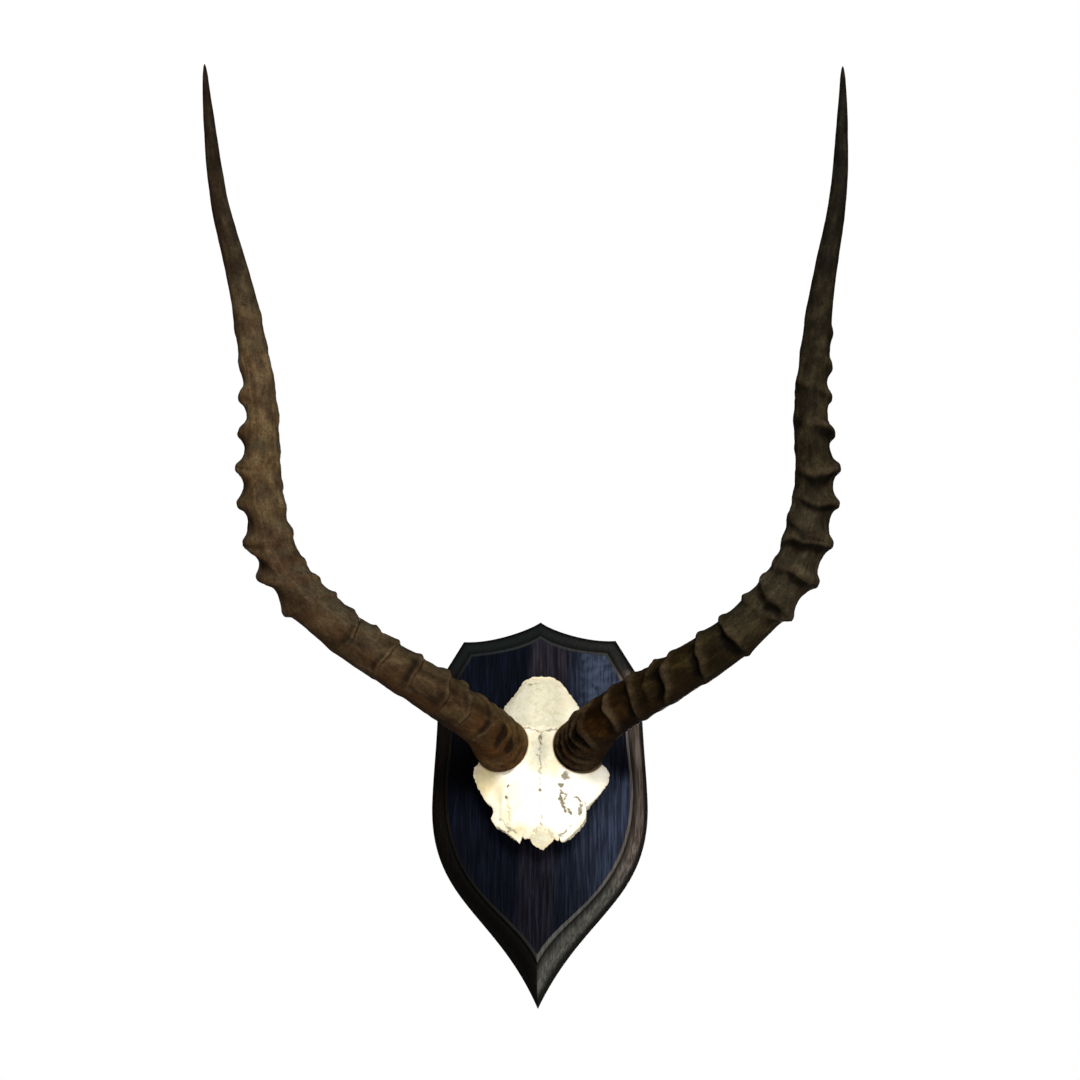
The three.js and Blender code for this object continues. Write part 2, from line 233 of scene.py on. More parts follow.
# %% Finishing a piece
def subdivide(piece, levels):
    divider = piece.modifiers.new("finer", "SUBSURF")
    divider.subdivision_type = "SIMPLE"
    divider.levels = divider.render_levels = levels
    bpy.ops.object.modifier_apply(modifier=divider.name)


def finish_piece(piece, node, material, sharp_angle=None):
    deselect_all()
    piece.select_set(True)
    bpy.context.view_layer.objects.active = piece
    if sharp_angle is None:
        bpy.ops.object.shade_smooth()
    else:
        bpy.ops.object.shade_smooth_by_angle(angle=math.radians(sharp_angle))
    piece.data.materials.clear()
    piece.data.materials.append(material)
    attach(piece, "root")
    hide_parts(node)
    low, high = points_of(piece).min(axis=0), points_of(piece).max(axis=0)
    print(piece.name, len(piece.data.polygons), "faces, box", low.round(4), high.round(4))


# %% [markdown]
# A material is a small tree of nodes. This maker keeps the trees short to write: each call adds
# one node and gives back its result, so a finish reads like a recipe. A noise is given by its
# scale, detail, roughness and distortion. A coat is a share and the colour laid on by that share.

# %% Material maker
class Finish:
    def __init__(self, name):
        self.material = bpy.data.materials.new(name)
        self.material.use_nodes = True
        self.tree = self.material.node_tree
        self.shader = self.tree.nodes["Principled BSDF"]

    def node(self, kind, **settings):
        node = self.tree.nodes.new("ShaderNode" + kind)
        for key, value in settings.items():
            setattr(node, key, value)
        return node

    def feed(self, node, values):
        for place, value in values.items():
            socket = node.inputs[place]
            if isinstance(value, bpy.types.NodeSocket):
                self.tree.links.new(value, socket)
            elif socket.type == "RGBA":
                socket.default_value = (*value, 1.0)
            elif value is not None:
                socket.default_value = value

    def places(self, kind="Object"):
        return self.node("TexCoord").outputs[kind]

    def mark(self, name, kind="Fac"):
        return self.node("Attribute", attribute_name=name).outputs[kind]

    def split(self, vector):
        parts = self.node("SeparateXYZ")
        self.feed(parts, {0: vector})
        return parts.outputs

    def noise(self, places, scale, detail, roughness, distortion=0.0):
        if isinstance(scale, tuple):
            mapping = self.node("Mapping")
            self.feed(mapping, {"Vector": places, "Scale": scale})
            places, scale = mapping.outputs["Vector"], 1.0
        texture = self.node("TexNoise")
        self.feed(texture, {
            "Vector": places, "Scale": scale, "Detail": detail,
            "Roughness": roughness, "Distortion": distortion,
        })
        return texture.outputs["Fac"]

    def spread(self, value, low, high, to_low=0.0, to_high=1.0):
        ranger = self.node("MapRange", interpolation_type="SMOOTHSTEP")
        self.feed(ranger, dict(enumerate((value, low, high, to_low, to_high))))
        return ranger.outputs["Result"]

    def maths(self, operation, first, second):
        step = self.node("Math", operation=operation)
        self.feed(step, {0: first, 1: second})
        return step.outputs["Value"]

    def times(self, first, second):
        return self.maths("MULTIPLY", first, second)

    def tones(self, value, *tones, at=(0.0, 0.5, 1.0)):
        ramp = self.node("ValToRGB")
        elements = ramp.color_ramp.elements
        while len(elements) < len(tones):
            elements.new(0.5)
        for element, position, tone in zip(elements, at, tones):
            element.position = position
            element.color = (*tone, 1.0)
        self.feed(ramp, {"Fac": value})
        return ramp.outputs["Color"]

    def mix(self, share, first, second, blend="MIX"):
        mixer = self.node("Mix", data_type="RGBA", blend_type=blend)
        self.feed(mixer, {0: share, 6: first, 7: second})
        return mixer.outputs[2]

    def tint(self, base, tone):
        return self.mix(1.0, base, tone, "MULTIPLY")

    def coats(self, base, coats):
        for share, coat in coats:
            base = self.mix(share, base, coat)
        return base

    def bump(self, height, depth, strength, below=None):
        bump = self.node("Bump")
        self.feed(bump, {"Height": height, "Distance": depth, "Strength": strength})
        self.feed(bump, {"Normal": below})
        return bump.outputs["Normal"]

    def surface(self, values):
        self.feed(self.shader, values)
        return self.material


def rgb(*levels):
    shares = [level / 255 for level in levels]
    return tuple(s / 12.92 if s <= 0.04045 else ((s + 0.055) / 1.055) ** 2.4 for s in shares)


def dimmed(tone, share):
    return tuple(share * value for value in tone)


# %% [markdown]
# ## The horns' centre lines
# Each horn leaves the skull forwards, sweeps out to the side and turns up to a slender tip. Its
# centre line is a chain of points in millimetres, joined by one smooth curve, and everything else
# about the horn is measured along it.

# %% Centre lines
LEFT_PATH = [
    (-26, -47, 44.5), (-32, -70, 50.5), (-42, -92, 56.5), (-57, -112, 65), (-78, -132, 77.5),
    (-131, -158, 111), (-169.5, -171, 150), (-184.5, -178, 199.5), (-188.5, -173, 269),
    (-203, -168, 347.5), (-222, -174, 423.5), (-229, -190, 487), (-230, -200, 513),
]
RIGHT_PATH = [
    (31, -47, 43.2), (39, -70, 49.2), (50, -92, 55.5), (66, -112, 64.2), (90, -132, 75.2),
    (141.5, -158, 105), (182, -171, 148), (196, -178, 199), (196.5, -173, 264), (205, -168, 342),
    (218.5, -174, 416.5), (222, -190, 478), (222, -200, 503),
]


def curve_piece(before, start, end, after, steps):
    gaps = [np.linalg.norm(b - a) ** 0.5 for a, b in ((before, start), (start, end), (end, after))]
    leave = (start - before) / gaps[0] - (end - before) / (gaps[0] + gaps[1])
    leave = (leave + (end - start) / gaps[1]) * gaps[1]
    arrive = (end - start) / gaps[1] - (after - start) / (gaps[1] + gaps[2])
    arrive = (arrive + (after - end) / gaps[2]) * gaps[1]
    share = np.arange(steps)[:, None] / steps
    square = 3 * (end - start) - 2 * leave - arrive
    cube = 2 * (start - end) + leave + arrive
    return start + leave * share + square * share**2 + cube * share**3


class CentreLine:
    def __init__(self, path, steps=60):
        knots = np.array(path, dtype=float)
        knots = np.vstack([2 * knots[0] - knots[1], knots, 2 * knots[-1] - knots[-2]])
        pieces = [curve_piece(*knots[i:i + 4], steps) for i in range(len(knots) - 3)]
        self.line = np.vstack([*pieces, knots[-2]])
        step = np.linalg.norm(np.diff(self.line, axis=0), axis=1)
        self.at = np.concatenate([[0], np.cumsum(step)])
        self.length = self.at[-1]

    def place(self, distance):
        return np.stack([np.interp(distance, self.at, self.line[:, i]) for i in range(3)], axis=1)

    def axes(self, distance):
        reach = 1.5
        ahead = self.place(np.minimum(distance + reach, self.length))
        along = ahead - self.place(np.maximum(distance - reach, 0))
        along /= np.linalg.norm(along, axis=1)[:, None]
        front = np.array([0.0, -1.0, 0.0]) - along * -along[:, 1:2]
        front /= np.linalg.norm(front, axis=1)[:, None]
        return along, front, np.cross(along, front)


left_line, right_line = CentreLine(LEFT_PATH), CentreLine(RIGHT_PATH)
print("horn lengths in mm:", round(left_line.length, 1), round(right_line.length, 1))

# %% [markdown]
# ## The rings
# An impala's horn carries a ring for each spell of growth. A ring is high on the outer side of
# the upper half, where it makes knobs, and on the front and inner side of the lower half, where
# the rings look like stacked cups. For each ring the list gives its distance from the base on the
# outer side, in front and on the inner side, then its height at the same three places. Two rings
# that meet on one side have grown together there.

# %% Ring lists
LEFT_RINGS = [
    (6, 6, 7, 0.5, 1.0, 0.9), (13, 14, 16, 0.4, 1.3, 1.1), (19, 22, 28, 0.3, 1.8, 1.5),
    (27, 35, 43, 0.3, 2.2, 1.9), (48, 53, 61, 0.3, 2.7, 2.3), (70, 74, 81, 0.3, 2.9, 2.6),
    (92, 95, 98, 0.3, 3.0, 3.0), (118, 120, 119, 0.3, 3.1, 2.7), (140, 143, 138, 0.3, 3.3, 2.6),
    (140, 153, 157, 0.3, 0.8, 2.5), (172, 169, 177, 0.5, 3.1, 2.3), (210, 204, 196, 4.2, 1.9, 2.0),
    (236, 226, 213, 4.8, 2.2, 3.4), (258, 243, 232, 4.5, 0.9, 3.0), (258, 256, 259, 4.5, 1.7, 2.3),
    (284, 280, 276, 4.3, 0.9, 1.7), (308, 298, 294, 4.2, 0.5, 1.5), (308, 305, 318, 4.2, 1.4, 1.6),
    (333, 338, 345, 3.9, 0.7, 1.5), (361, 366, 373, 2.7, 0.6, 1.5), (386, 390, 395, 1.7, 0.5, 1.3),
    (412, 416, 420, 0.6, 0.4, 1.0),
]
RIGHT_RINGS = [
    (6, 6, 7, 0.5, 1.0, 0.9), (14, 15, 17, 0.5, 1.3, 1.1), (22, 25, 30, 0.5, 1.7, 1.4),
    (28, 33, 42, 0.4, 1.5, 1.6), (37, 44, 56, 0.5, 2.7, 2.1), (64, 73, 76, 0.6, 3.2, 2.5),
    (87, 95, 93, 0.7, 3.6, 2.2), (98, 107, 116, 0.5, 0.7, 2.1), (112, 122, 136, 0.9, 3.4, 2.2),
    (141, 151, 156, 1.1, 3.7, 2.1), (174, 177, 176, 1.9, 3.8, 2.0), (210, 200, 200, 4.6, 0.9, 1.8),
    (210, 213, 219, 4.6, 3.2, 1.8), (236, 235, 236, 4.8, 3.0, 1.6), (260, 258, 254, 4.8, 2.4, 1.5),
    (260, 265, 271, 4.8, 1.6, 1.7), (286, 284, 290, 4.8, 2.4, 1.5), (309, 301, 310, 4.8, 2.3, 1.3),
    (334, 337, 347, 4.4, 1.9, 1.2), (362, 366, 373, 3.2, 1.3, 1.0), (385, 388, 393, 2.2, 0.8, 0.8),
    (410, 415, 421, 1.2, 0.5, 0.5),
]
BACK_HEIGHT = 0.4
TAPER_AT = [0, 2, 8, 37, 73, 110, 147, 183, 220, 257, 293, 340, 560, 585, 600, 620]
TAPER_RADIUS = [
    0.3, 1.0, 1.9, 3.9, 5.5, 6.7, 8.1, 9.4, 10.8, 11.9, 13.3, 14.8, 15.4, 17.4, 19, 19.6,
]
DEPTH_RATIO = 1.06
print("rings:", len(LEFT_RINGS), "on the left,", len(RIGHT_RINGS), "on the right")

# %% [markdown]
# A real ring is never a perfect hoop. It wanders along the horn and is higher here and lower
# there. The tables below hold the place and height of every ring at every point's angle, and each
# point then finds the nearest ring on either side of it.

# %% Finding the rings
WANDER = 3.0
FIRST_RING_AT, FIRST_RING_HEIGHT, LAST_GAP = -7, 0.5, 30


def around_horn(angle, sides):
    quarter = (angle / (math.pi / 2)) % 4
    first = np.floor(quarter).astype(int) % 4
    share = smooth_step(quarter - np.floor(quarter), 0, 1)
    sides = np.array(sides, dtype=float)
    return sides[first] * (1 - share) + sides[(first + 1) % 4] * share


def around_noise(distance, angle, length, turns, offset):
    return rough_noise(distance / length + offset, turns * np.cos(angle), turns * np.sin(angle), 2)


def wandering(distance, angle, seed):
    on_knobs = smooth_step(distance, 170, 200) * smooth_step(np.cos(angle), 0, 0.7)
    reach = WANDER * (1 - 0.85 * on_knobs) * smooth_step(distance, 4, 30) * fade(distance, 330, 420)
    return distance + reach * around_noise(distance, angle, 26, 0.9, 31.7 * seed)


def waves(angle, phases, size):
    return sum(size / k * np.cos(k * angle + phase) for k, phase in enumerate(phases, 2))


def ring_tables(angle, rings, chance):
    places, heights = [], []
    for outer, front, inner, *crest in rings:
        phases = chance.uniform(0, 2 * math.pi, (2, 5))
        sway, swell = waves(angle, phases[0], 0.6), waves(angle, phases[1], 0.4)
        on_knob = smooth_step(np.cos(angle), 0.5, 0.95) * (crest[0] > 2)
        place = around_horn(angle, [outer, front, inner, (outer + inner) / 2])
        places.append(place + min(outer / 45, 1) * (1 - on_knob) * sway)
        height = around_horn(angle, [*crest, BACK_HEIGHT])
        heights.append(height * np.clip(1 + swell * (1 - on_knob), 0.25, 1.5))
    return np.maximum.accumulate(places, axis=0), heights


def nearest_rings(distance, angle, rings, chance):
    places, heights = ring_tables(angle, rings, chance)
    flat = np.zeros_like(distance)
    places = np.array([flat + FIRST_RING_AT, *places, places[-1] + LAST_GAP])
    heights = np.array([flat + FIRST_RING_HEIGHT, *heights, flat])
    below = np.clip((places <= distance).sum(axis=0) - 1, 0, len(places) - 2)[None]
    tables = ((places, 0), (places, 1), (heights, 0), (heights, 1))
    return [np.take_along_axis(table, below + step, 0)[0] for table, step in tables]


# %% [markdown]
# A ring ends in a pale lip, worn lighter and lit as a painted highlight, with a dark crevice
# beside it, dirt and painted shade, on the side that the light leaves: the tip side on the left
# horn, the base side on the right one. Both fade on the upper half, where the places between the
# knobs are painted dark as shade instead.

# %% Lips and crevices
TALLEST_LIP = 3.5
LIP_WIDTHS = (1.8, 3.4)


def beside(near, offset, base_width, tip_width):
    marks = []
    for ring, gap in near:
        width = np.where(gap - offset > 0, tip_width, base_width)
        marks.append(np.minimum(ring, TALLEST_LIP) * bump_at(gap - offset, width))
    return np.maximum(*marks)


def lips_and_crevices(distance, angle, near, scallop, shade):
    outward, upper = np.cos(angle), shade["upper"]
    in_front = smooth_step(np.sin(angle), 0.1, 0.8) + 0.5 * smooth_step(-outward, 0.3, 0.9)
    patchy = np.clip(0.9 + 1.4 * around_noise(distance, angle, 17, 1.3, 5.5), 0.1, 1.2)
    patchy = patchy * (1 + (upper - 1) * smooth_step(distance, 180, 230))
    # Crevice: painted shade, with some dirt, beside each ring on the side the light leaves.
    crevice = np.clip(in_front, 0, 1) * patchy * beside(near, *shade["crevice"])
    crevice = shade["amount"] * crevice
    # Painted shade in the scoops between the knobs on the outer side of the upper half.
    between = (1 - upper) * smooth_step(outward, -0.1, 0.9) * smooth_step(distance, 170, 240)
    between = between * fade(distance, 300, 400) * (1.3 - scallop)
    near_base = fade(distance, 25, 80)
    dark = np.maximum((1 + 1.2 * near_base) * crevice / 3, 0.75 * between)
    # Lip: a painted highlight, with some wear, on the side of the ring that the light reaches.
    lip = np.clip((1 + 2.5 * near_base) * beside(near, shade["lip"], *LIP_WIDTHS) / 3, 0, 1)
    lip = lip * np.clip(0.3 + patchy, 0, 1)
    lip = lip * (0.6 + 0.4 * fade(distance, 90, 160))
    return lip, crevice, np.clip(dark, 0, 1)


# %% [markdown]
# The lower rings are cups: a steep side towards the base and a gentle one towards the tip. The
# upper ones are knobs with a scoop between them, and the horn passes from one to the other
# between two distances from the base.

# %% Height of the rings
CUP_END, KNOB_START = 190.0, 225.0
STEEP_SIDE, CREST_ROUNDNESS = 3.8, 2.6
KNOB_WIDTH_BASE, KNOB_WIDTH_TIP = 3.6, 4.2
KNOB_SHARE, SCALLOP_SHARE = 0.78, 0.22
CREVICE_DEPTH = 0.35


def ring_relief(distance, angle, rings, shade, chance):
    low_at, high_at, low, high = nearest_rings(distance, angle, rings, chance)
    share = np.clip((distance - low_at) / np.maximum(high_at - low_at, 0.1), 0, 1)
    past, ahead = np.maximum(distance - low_at, 0), np.maximum(high_at - distance, 0)
    scallop = 0.5 + 0.5 * np.cos(2 * math.pi * share)
    near = ((low, past), (high, -ahead))
    lip, crevice, dark = lips_and_crevices(distance, angle, near, scallop, shade)
    gentle = 0.4 * bump_at(past, CREST_ROUNDNESS) + 0.6 * (1 - share) ** 1.9
    cup = low * gentle + high * fade(ahead, 0, STEEP_SIDE) - CREVICE_DEPTH * crevice

    def knob(ring, gap, width, nearer):
        return ring * (KNOB_SHARE / (1 + (gap / width) ** 4) + SCALLOP_SHARE * scallop * nearer)

    knob_low = knob(low, past, KNOB_WIDTH_TIP, share < 0.5)
    knob_high = knob(high, ahead, KNOB_WIDTH_BASE, share >= 0.5)
    outer_side = smooth_step(np.cos(angle), 0.1, 0.8) * smooth_step(distance, 200, 230)
    outer_side = outer_side * fade(distance, 345, 400)
    scooped = shade["scoop"] * outer_side * (1 - scallop) * smooth_step(high_at - low_at, 6, 17)
    knobs = (knob_low**4 + knob_high**4) ** 0.25 - scooped
    cupped = fade(distance, CUP_END, KNOB_START)
    height = cupped * cup + (1 - cupped) * knobs * (1 - 0.35 * fade(np.cos(angle), 0.1, 0.7))
    return height, lip, dark


# %% [markdown]
# ## Horn blanks
# A round twelve-sided tube, one unit in radius and as long as the horn, is extruded station by
# station from a circle and divided finely. Its height says how far along the horn a point is and
# its angle says on which side, so the point can be carried to its place on the real horn.

# %% A horn blank
HORN_SIDES = 12
HORN_STATIONS = 100
HORN_DIVISIONS = 3


def horn_blank(name, length):
    deselect_all()
    bpy.ops.mesh.primitive_circle_add(vertices=HORN_SIDES, radius=1, fill_type="NGON")
    blank = newest(name)
    edit_all()
    for _ in range(HORN_STATIONS):
        extrude_by(0, 0, length / HORN_STATIONS)
    leave_facing_out()
    subdivide(blank, HORN_DIVISIONS)
    return blank


# %% [markdown]
# The horn's skin has more than rings: shallow dents, fine fibres that run to the tip, and at the
# base a swirl of crowded small ripples. The upper third is worn smooth.

# %% Skin of a horn
RIPPLE_PITCH, RIPPLE_HEIGHT, RIPPLE_END = 4.9, 0.2, 62.0
FIBRE_HEIGHT, DENT_HEIGHT, LUMP_HEIGHT = 0.18, 0.8, 1.3


def skin_relief(distance, angle, radius, seed):
    round_x, round_y = radius * np.cos(angle), radius * np.sin(angle)
    offset = seed * 17.3
    fibres = rough_noise(distance / 28 + offset, round_x / 1.5, round_y / 1.5)
    dents = rough_noise(distance / 13 - offset, round_x / 9, round_y / 9)
    lumps = rough_noise(distance / 22 + 40, round_x / 16 + offset, round_y / 16, 2)
    worn = 1 - 0.8 * smooth_step(distance, 370, 450)
    worn = worn * (1 - 0.6 * smooth_step(np.cos(angle), 0, 0.8) * fade(distance, 190, 230))
    swirl = distance + 3.5 * np.sin(angle + 1.1) + 7 * dents
    ripple = np.sin(2 * math.pi * swirl / RIPPLE_PITCH) * fade(distance, 25, RIPPLE_END)
    skin = worn * (FIBRE_HEIGHT * fibres + DENT_HEIGHT * dents + LUMP_HEIGHT * lumps)
    return skin + RIPPLE_HEIGHT * ripple, fibres


# %% [markdown]
# Every point of the blank now goes to its place beside the centre line, as far out as the taper,
# the rings and the skin say, and never past the box of the CAD model. A few marks stay on the
# points for the finish to read: where the fibres run, the lips, the crevices and how far up it is.

# %% Shaping a horn
LEAST_RADIUS, TIP_REACH = 0.2, 60
LEFT_SHADE = {"crevice": (2.0, 2.0, 3.6), "amount": 0.62, "upper": 0.3, "lip": -2.6, "scoop": 1.9}
RIGHT_SHADE = {"crevice": (-3.8, 4.6, 2.2), "amount": 1.0, "upper": 1.0, "lip": 0.9, "scoop": 0.9}
RIGHT_LUMPS = [(121, 112, 1.6, 6.0)]


def shape_horn(name, line, rings, outer_side, shade, seed, lumps=()):
    blank = horn_blank(name, line.length)
    unit = points_of(blank)
    corner = (np.arange(HORN_SIDES) + 0.5) * 2 * math.pi / HORN_SIDES
    edge = (unit[:, :2] @ np.array([np.cos(corner), np.sin(corner)])).max(axis=1)
    cap_share = np.minimum(edge / math.cos(math.pi / HORN_SIDES), 1)
    distance = np.clip(unit[:, 2], 0, line.length)
    angle = np.arctan2(unit[:, 1], unit[:, 0] * outer_side)
    taper = np.interp(line.length - distance, TAPER_AT, TAPER_RADIUS)
    ring_distance, chance = wandering(distance, angle, seed), np.random.default_rng(seed)
    height, crest, crevice = ring_relief(ring_distance, angle, rings, shade, chance)
    skin, fibres = skin_relief(distance, angle, taper, seed)
    slim = smooth_step(line.length - distance, 0, TIP_REACH)
    for at, toward, lump_height, lump_width in lumps:
        across = (angle - math.radians(toward) + math.pi) % (2 * math.pi) - math.pi
        height = height + lump_height * bump_at(np.hypot(distance - at, across * taper), lump_width)
    radius = cap_share * np.maximum(taper + height + slim * skin, LEAST_RADIUS)
    _, front, right = line.axes(distance)
    sideways = np.cos(angle) * outer_side * radius
    forwards = np.sin(angle) * radius * DEPTH_RATIO
    points = line.place(distance) + right * sideways[:, None] + front * forwards[:, None]
    move_points(blank, np.clip(points * MM, *np.array(cad_box)))
    fibre = np.stack([distance, taper * np.cos(angle), taper * np.sin(angle)], axis=1)
    mark_points(blank, "fibre", MM * fibre)
    # The crest mark holds the lips' painted highlight, the crevice mark their painted shade.
    mark_points(blank, "crest", crest)
    mark_points(blank, "crevice", np.clip(crevice - 0.1 * fibres, 0, 1))
    mark_points(blank, "along", distance / line.length)
    print(name, "ring heights in mm:", height.min().round(2), "to", height.max().round(2))
    return blank


horn_left = shape_horn("horn_left_grown", left_line, LEFT_RINGS, -1, LEFT_SHADE, 3)
horn_right = shape_horn("horn_right_grown", right_line, RIGHT_RINGS, 1, RIGHT_SHADE, 8, RIGHT_LUMPS)


# %% [markdown]
# ## Horn finish
# Horn is the stuff of nails: brown, fibrous and nearly dull. The faces turned up are paler and
# greyer, partly faded and partly a painted top light; those turned down are redder and darker,
# partly painted shade; and the flanks turned sideways are painted darker as shade. The crests are
# lighter with dust and a painted highlight, the crevices darker with dirt and painted shade, and
# years of knocks have left small nicks and pale flecks.

# %% Horn finish
FLECK_TINT = (1.7, 1.68, 1.62)
HORN_GLOSS = 0.012
SHADES_AT = (0.0, 0.12, 0.27, 0.38, 0.5, 0.62, 0.77, 0.92)


def horn_finish(name, dark, middle, pale, paled_by_light, red_and_shaded, crest_dust_and_highlight, shades):
    finish = Finish(name)
    fibre = finish.mark("fibre", "Vector")
    streaks = finish.noise(fibre, (30, 560, 560), 5, 0.6)
    patches = finish.noise(fibre, (42, 75, 75), 6, 0.62, 0.6)
    mottle = finish.noise(fibre, (60, 95, 95), 5, 0.6)
    nicks = finish.noise(fibre, (260, 330, 330), 5, 0.68, 0.8)
    grain = finish.noise(fibre, 900, 3, 0.6)
    tone = finish.maths("ADD", finish.times(streaks, 0.26), finish.times(mottle, 0.74))
    _, back, upward = finish.split(finish.places("Normal"))
    # Faces turned up: faded horn and a painted top light. Faces turned down: redder horn and
    # painted shade.
    faded_and_lit_up = finish.spread(upward, -0.2, 0.9, 0.0, 0.75)
    red_and_shaded_down = finish.spread(upward, -0.7, 0.25, 0.8, 0.0)
    # Painted shade on the flanks turned sideways, darkening the horn towards its edges.
    shaded_flanks = finish.spread(back, -0.5, -0.02, 0.0, 0.55)
    shaded_flanks = finish.times(shaded_flanks, finish.spread(back, 0.5, 0.1))
    crest = finish.times(finish.mark("crest"), finish.spread(mottle, 0.35, 0.65, 0.15, 0.75))
    base = finish.tones(finish.spread(tone, 0.26, 0.74), dark, middle, pale)
    base = finish.coats(base, [
        (finish.times(faded_and_lit_up, finish.spread(patches, 0.35, 0.6)), paled_by_light),
        (finish.times(red_and_shaded_down, finish.spread(patches, 0.6, 0.4)), red_and_shaded),
        (finish.spread(patches, 0.5, 0.72, 0.0, 0.35), dark),
    ])
    base = finish.tint(base, finish.tones(finish.mark("along"), *shades, at=SHADES_AT))
    # Lips: lighter with dust and a painted highlight.
    base = finish.mix(crest, base, crest_dust_and_highlight)
    base = finish.coats(base, [
        (finish.spread(nicks, 0.56, 0.74, 0.0, 0.5), finish.tint(base, FLECK_TINT)),
        (finish.spread(nicks, 0.45, 0.3, 0.0, 0.6), dimmed(dark, 0.4)),
        # The crevice mark: dirt and painted shade.
        (finish.spread(finish.mark("crevice"), 0.03, 1.0, 0.0, 0.9), dimmed(dark, 0.35)),
        (finish.spread(grain, 0.62, 0.3, 0.0, 0.45), dimmed(dark, 0.5)),
        (shaded_flanks, dimmed(dark, 0.4)),
    ])
    normal = finish.bump(streaks, 0.00022, 0.5, finish.bump(grain, 0.00012, 0.5))
    return finish.surface({
        "Base Color": base, "Roughness": finish.spread(streaks, 0.3, 0.75, 0.55, 0.75),
        "Specular IOR Level": HORN_GLOSS, "Normal": normal,
    })


# %% [markdown]
# The two horns have aged apart: the left one is brown, the right one nearly black with a grey
# bend. Each has its own colours, and a row of shades from the base to the tip.

# %% Two horns
brown_horn = horn_finish(
    "brown_horn", rgb(25, 17, 10), rgb(64, 49, 32), rgb(96, 79, 54),
    paled_by_light=rgb(74, 67, 50), red_and_shaded=rgb(62, 40, 22), crest_dust_and_highlight=rgb(74, 60, 42),
    shades=[
        (1.30, 1.10, 0.74), (0.49, 0.47, 0.43), (0.58, 0.64, 0.70), (0.65, 0.69, 0.75),
        (0.79, 0.82, 0.78), (0.93, 0.96, 1.00), (0.36, 0.42, 0.47), (0.19, 0.22, 0.26),
    ],
)
dark_horn = horn_finish(
    "dark_horn", rgb(10, 7, 4), rgb(32, 25, 16), rgb(58, 48, 33),
    paled_by_light=rgb(45, 38, 27), red_and_shaded=rgb(32, 21, 12), crest_dust_and_highlight=rgb(60, 50, 36),
    shades=[
        (1.55, 1.10, 0.50), (0.52, 0.34, 0.14), (0.47, 0.52, 0.36), (1.25, 1.48, 1.60),
        (0.56, 0.61, 0.60), (0.60, 0.68, 0.62), (0.49, 0.58, 0.62), (0.38, 0.48, 0.62),
    ],
)
finish_piece(horn_left, "horn_left", brown_horn)
finish_piece(horn_right, "horn_right", dark_horn)

# %% [markdown]
# ## The skull plate
# What is left of the skull is its crown, sawn flat behind and broken off at the nose. It is one
# bleached bone: the two brows spread into thin wings over the eye sockets, the crown is a rough
# dome, and seams, pits and cracks mark where the bones grew together. A ball primitive suits it:
# one pole is the middle of the forehead, the other the middle of the hollow back, and each ring
# of its points becomes one ring of bone.

# %% Skull outline and heights in millimetres
BOARD = 20.0
FITTING_GAP = 0.4
SKULL_CENTRE = (2.5, 36.0)
SKULL_OUTLINE = [
    (-43.8, 32), (-47.1, 29.2), (-47.5, 24.5), (-44.7, 16), (-38, 4), (-33.3, 0), (-32, -3.7),
    (-34.2, -8.4), (-31.3, -13.2), (-24.7, -17), (-17.3, -22.5), (-13.2, -26.4), (-10.9, -21.2),
    (-9.7, -23), (-5.5, -23.1), (-4, -26.8), (-0.3, -29.6), (4.2, -31), (8, -27.8), (12.5, -23.2),
    (15.3, -25.1), (15.9, -21.6), (16.8, -25.4), (19.4, -25), (25.6, -19.8), (31.4, -14),
    (35.2, -8), (35.6, -0.9), (43.4, 6.6), (51.3, 16.6), (52.7, 24), (50.4, 28.6), (46.7, 31.5),
    (45, 40), (41, 50), (36, 60), (31, 67), (30.3, 75), (23.2, 85.4), (16.5, 94.8), (10, 98.6),
    (2.4, 99.1), (-5.2, 98.7), (-10.9, 95.9), (-17.4, 85.2), (-25.3, 75.4), (-27, 66), (-34, 57),
    (-40, 46),
]
CREST_AT = [-31, -15, 0, 15, 30, 45, 55, 63, 75, 90, 99]
CREST_HEIGHT = [20, 27, 31, 33, 33, 31, 28, 24, 17, 9, 5]
print("skull outline has", len(SKULL_OUTLINE), "corners")

# %% Skull blank
SKULL_COLUMNS = 480
FRONT_ROWS, WALL_ROWS, BACK_ROWS = 152, 6, 26
SKULL_ROWS = FRONT_ROWS + WALL_ROWS + BACK_ROWS

deselect_all()
bpy.ops.mesh.primitive_uv_sphere_add(segments=SKULL_COLUMNS, ring_count=SKULL_ROWS, radius=1)
skull = bpy.context.object
skull.name = "skull_plate_bone"
ball = points_of(skull)
row = np.rint(np.arccos(np.clip(ball[:, 2], -1, 1)) / math.pi * SKULL_ROWS)
turn = np.arctan2(ball[:, 1], ball[:, 0]) / (2 * math.pi) % 1
print("skull blank:", len(ball), "points")


# %% [markdown]
# The broken edge is drawn from its corners, slightly worn, with small chips. Towards the middle
# the rings follow an evened-out edge, so that the spurs stay at the rim.

# %% Rings of the skull
def closed_line(corners, steps, soften):
    corners = np.array(corners, dtype=float)
    ring = np.vstack([corners, corners[:1]])
    at = np.concatenate([[0], np.cumsum(np.linalg.norm(np.diff(ring, axis=0), axis=1))])
    even = np.arange(steps) / steps * at[-1]
    line = np.stack([np.interp(even, at, ring[:, i]) for i in (0, 1)], axis=1)
    reach = np.arange(-soften, soften + 1)
    return sum(np.roll(line, step, axis=0) for step in reach) / len(reach)


